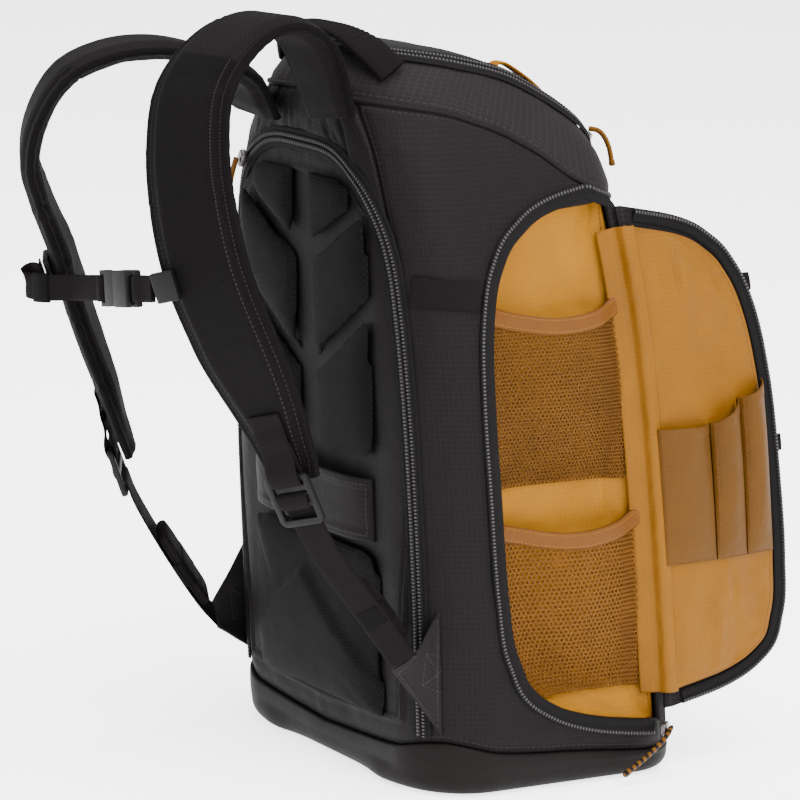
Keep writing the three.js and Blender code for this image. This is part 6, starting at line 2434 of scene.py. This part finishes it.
@dataclass
class Trim:
    """Plastic and metal hardware, the grab handle, side webbing, sliders' pulls and the lid's tab."""

    form: BagForm = FORM
    handle_at: float = 1.55

    def hardware(self) -> None:
        """Copies of the solids with their edges rounded."""
        bevels = {
            "strap_buckle_right": 0.9, "strap_buckle_left": 0.9, "sternum_buckle_female": 1.1,
            "sternum_buckle_male": 0.9, "sternum_clip_right": 1.2, "sternum_clip_left": 1.2,
            "rear_slider": 0.8, "top_slider": 0.8, "pocket_slider": 0.8,
        }
        for node, width in bevels.items():
            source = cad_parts[node]
            mesh = source.data.copy()
            piece = bpy.data.objects.new(f"{node}_smooth", mesh)
            bpy.context.scene.collection.objects.link(piece)
            body = bmesh.new()
            body.from_mesh(mesh)
            bmesh.ops.remove_doubles(body, verts=body.verts, dist=1e-6)
            bmesh.ops.dissolve_limit(body, angle_limit=math.radians(2), verts=body.verts, edges=body.edges)
            body.to_mesh(mesh)
            body.free()
            rounder = piece.modifiers.new("rounder", "BEVEL")
            rounder.width = width * MM
            rounder.segments = 3
            rounder.limit_method = "ANGLE"
            rounder.angle_limit = math.radians(28)
            rounder.use_clamp_overlap = True
            take_shape(piece)
            metal = "slider" in node
            dress(piece, METAL if metal else PLASTIC, "dark_metal" if metal else "black_plastic", node)
            piece.data.polygons.foreach_set("use_smooth", np.ones(len(piece.data.polygons), bool))
            piece.data.set_sharp_from_angle(angle=math.radians(35))

    def handle(self) -> None:
        """Ribbed grab handle: a flat oval with shallow cross ribs in its middle, sewn down at both ends."""
        right, left = (self.form.band(sign * self.handle_at, 0.45, 4.3) for sign in (1, -1))
        share = np.linspace(-1, 1, 240)
        arch = 1 - np.abs(share) ** 3
        path = lerp(left, right, ((share + 1) / 2)[:, None])
        path[:, 2] = lerp(path[:, 2], 520.0, arch)
        path[:, 1] -= 15.0 * arch
        slope = np.zeros((len(share), 3))
        for sign in (1, -1):
            station = sign * self.handle_at
            step = self.form.band_face(station, 0.55) - self.form.band_face(station, 0.45)
            step[0] = 0
            slope[np.sign(share) == sign] = unit(step)
        side = unit(lerp(slope, np.array([0, 1.0, 0]), arch[:, None]))
        width = 23.0 * (1 - 0.10 * smoothstep(np.abs(share), 0.7, 0.95))
        rib = 0.45 * np.sin(share * 88) * (1 - smoothstep(np.abs(share), 0.62, 0.74))
        height = 2.5 + rib + 0.5 * (1 - np.abs(share) ** 8)
        profile = oval(36, width[:, None] / 2, height[:, None], 0.5, 0.6)
        piece = make_sweep("grab_handle_webbing", band_rings(path, side, profile))
        finish = Webbing("handle_webbing", tone(7, 5, 6), tone(18, 15, 16), 2.0)
        dress(piece, finish, "webbing", "grab_handle")

    def side_webbing(self) -> None:
        """Webbing strip across each side, from the door's zip to the pocket."""
        top = 350.0
        reach = float(self.form.mouth_reach(top)) + 11 + 4
        end = float(self.form.behind_hinge(np.array(top), np.array(reach)))
        share = np.linspace(0, 1, 60)
        for side, sign in (("right", 1), ("left", -1)):
            station = sign * lerp(1.47, end, share)
            z = top + 4 * (0.5 - share)
            path = self.form.wall(station, z, 1.9)
            out = unit(self.form.wall(station, z, 1.0) - self.form.bare(station, z))
            along = np.gradient(path, axis=0)
            across = unit(np.cross(along, out))
            lift = np.sign(np.sum(np.cross(across, unit(along)) * out))
            profile = flat_profile(20.0, 1.5, 0.0 if lift > 0 else -1.5, 12, 0.5)
            piece = make_sweep(f"side_strip_{side}", band_rings(path, across, profile))
            dress(piece, WEBBING, "webbing", f"side_webbing_{side}")

    def pulls(self) -> None:
        """Cord pulls on the three sliders and the raised tab on the lid."""
        for name, finish in (("rear", GOLD), ("top", GOLD), ("pocket", GOLD_STRIPED)):
            path, flat = ribbon_middle(mesh_points(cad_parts[f"{name}_pull"]))
            fine = evenly(rounded(path, 3), 0.8)[0]
            share = np.linspace(0, 1, len(fine))[:, None]
            knob = 1 + 0.25 * smoothstep(share, 0.86, 0.93) - 0.45 * smoothstep(share, 0.975, 1.0)
            piece = make_sweep(f"{name}_pull_cord", band_rings(fine, flat, oval(24, 3.3 * knob, 1.8 * knob)))
            dress(piece, finish, "gold_cord", f"{name}_pull")
        share = np.linspace(0, 1, 100)
        y = lerp(6.0, 54.0, share)
        rise = 1.8 + 9.0 * (1 - np.abs(2 * share - 1) ** 5)
        path = np.stack([np.full_like(y, 30.0), y, self.form.crest(y) + 4 + rise], -1)
        rings = band_rings(path, (-1.0, 0, 0), flat_profile(12.0, 2.2, 0.0, 12, 0.7))
        piece = make_sweep("lid_tab_webbing", rings)
        dress(piece, Webbing("gold_webbing", tone(96, 56, 8), tone(150, 98, 14), 1.5), "gold_cord", "lid_tab")

    def build(self) -> None:
        """Builds all the trim."""
        self.hardware()
        self.handle()
        self.side_webbing()
        self.pulls()


def ribbon_middle(points: Array) -> tuple[Array, Array]:
    """Middle line of a short ribbon of four-cornered rings, and its direction across.

    The points are put in order along the ribbon's longest direction, and each four make a ring.

    Args:
        points: the ribbon's points, some of them repeated.

    Returns:
        The middle of each ring, and the mean direction across.
    """
    distinct = np.unique(np.round(points, 2), axis=0)
    centre = distinct.mean(0)
    _, _, axes = np.linalg.svd(distinct - centre)
    order = np.argsort((distinct - centre) @ axes[0])
    rings = distinct[order].reshape(-1, 4, 3)
    middle = rings.mean(1)
    if middle[0, 2] < middle[-1, 2]:
        middle, rings = middle[::-1], rings[::-1]
    corners = rings[1]
    pairs = [(a, b) for a in range(4) for b in range(a + 1, 4)]
    spans = sorted(pairs, key=lambda p: np.linalg.norm(corners[p[0]] - corners[p[1]]))
    a, b = spans[2]
    return middle, unit(corners[b] - corners[a])


# Studio

@dataclass
class Studio:
    """Pale floor, soft lights and the camera at the photograph's angle, in metres."""

    lens: float = 201.6
    place: tuple[float, float, float] = (2.725, -1.573, 0.833)
    aim: tuple[float, float, float] = (-0.0204, -0.0353, 0.247)
    roll: float = -0.6

    def camera(self) -> None:
        """Camera turned to its aim, then rolled a little about its own axis."""
        data = bpy.data.cameras.new("studio_camera")
        data.lens = self.lens
        data.sensor_width = 36.0
        data.clip_end = 50.0
        camera = bpy.data.objects.new("studio_camera", data)
        bpy.context.scene.collection.objects.link(camera)
        place = Vector(self.place)
        back = (place - Vector(self.aim)).normalized()
        right = Vector((0, 0, 1)).cross(back).normalized()
        up = back.cross(right)
        c, s = math.cos(math.radians(self.roll)), math.sin(math.radians(self.roll))
        x_axis, y_axis = right * c - up * s, right * s + up * c
        turn = Matrix((x_axis, y_axis, back)).transposed().to_4x4()
        camera.matrix_world = Matrix.Translation(place) @ turn
        bpy.context.scene.camera = camera

    def light(self, name: str, place: tuple, aim: tuple, size: float, power: float) -> None:
        """Square area light aimed at a point.

        Args:
            name: its name.
            place: where it hangs.
            aim: the point.
            size: its side.
            power: its power in watts.
        """
        data = bpy.data.lights.new(name, "AREA")
        data.size = size
        data.energy = power
        light = bpy.data.objects.new(name, data)
        bpy.context.scene.collection.objects.link(light)
        light.location = place
        light.rotation_euler = (Vector(aim) - Vector(place)).to_track_quat("-Z", "Y").to_euler()

    def build(self) -> None:
        """Floor, world, lights and camera."""
        points = np.array([[-1, -1, 0], [1, -1, 0], [1, 1, 0], [-1, 1, 0]]) * 9000.0
        points[:, 2] = -0.4
        floor = make_object("studio_floor", points, np.array([[0, 1, 2, 3]]))
        Floor().on(floor)
        world = bpy.data.worlds.new("studio_world")
        world.use_nodes = True
        world.node_tree.nodes["Background"].inputs[0].default_value = (1, 1, 1, 1)
        world.node_tree.nodes["Background"].inputs[1].default_value = 1.25
        bpy.context.scene.world = world
        self.light("overhead_light", (0.9, 0.2, 3.4), (0, 0, 0.2), 3.0, 330)
        self.light("key_light", (3.6, -0.2, 2.2), (0, 0, 0.25), 2.2, 230)
        self.light("rim_light", (-2.4, -1.8, 2.2), (0, 0, 0.3), 1.8, 70)
        self.camera()


def main() -> None:
    """Builds the studio and each part of the backpack in order."""
    for builder in (Studio(), Shell(), Zips(), BackPanel(), SidePocket(), Flap(), Harness(), Trim()):
        builder.build()
        LOG.info("%s built", type(builder).__name__)
    shown = [name for name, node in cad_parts.items() if not node.hide_render]
    LOG.info("solids that still show: %s", shown)


if __name__ == "__main__":
    main()
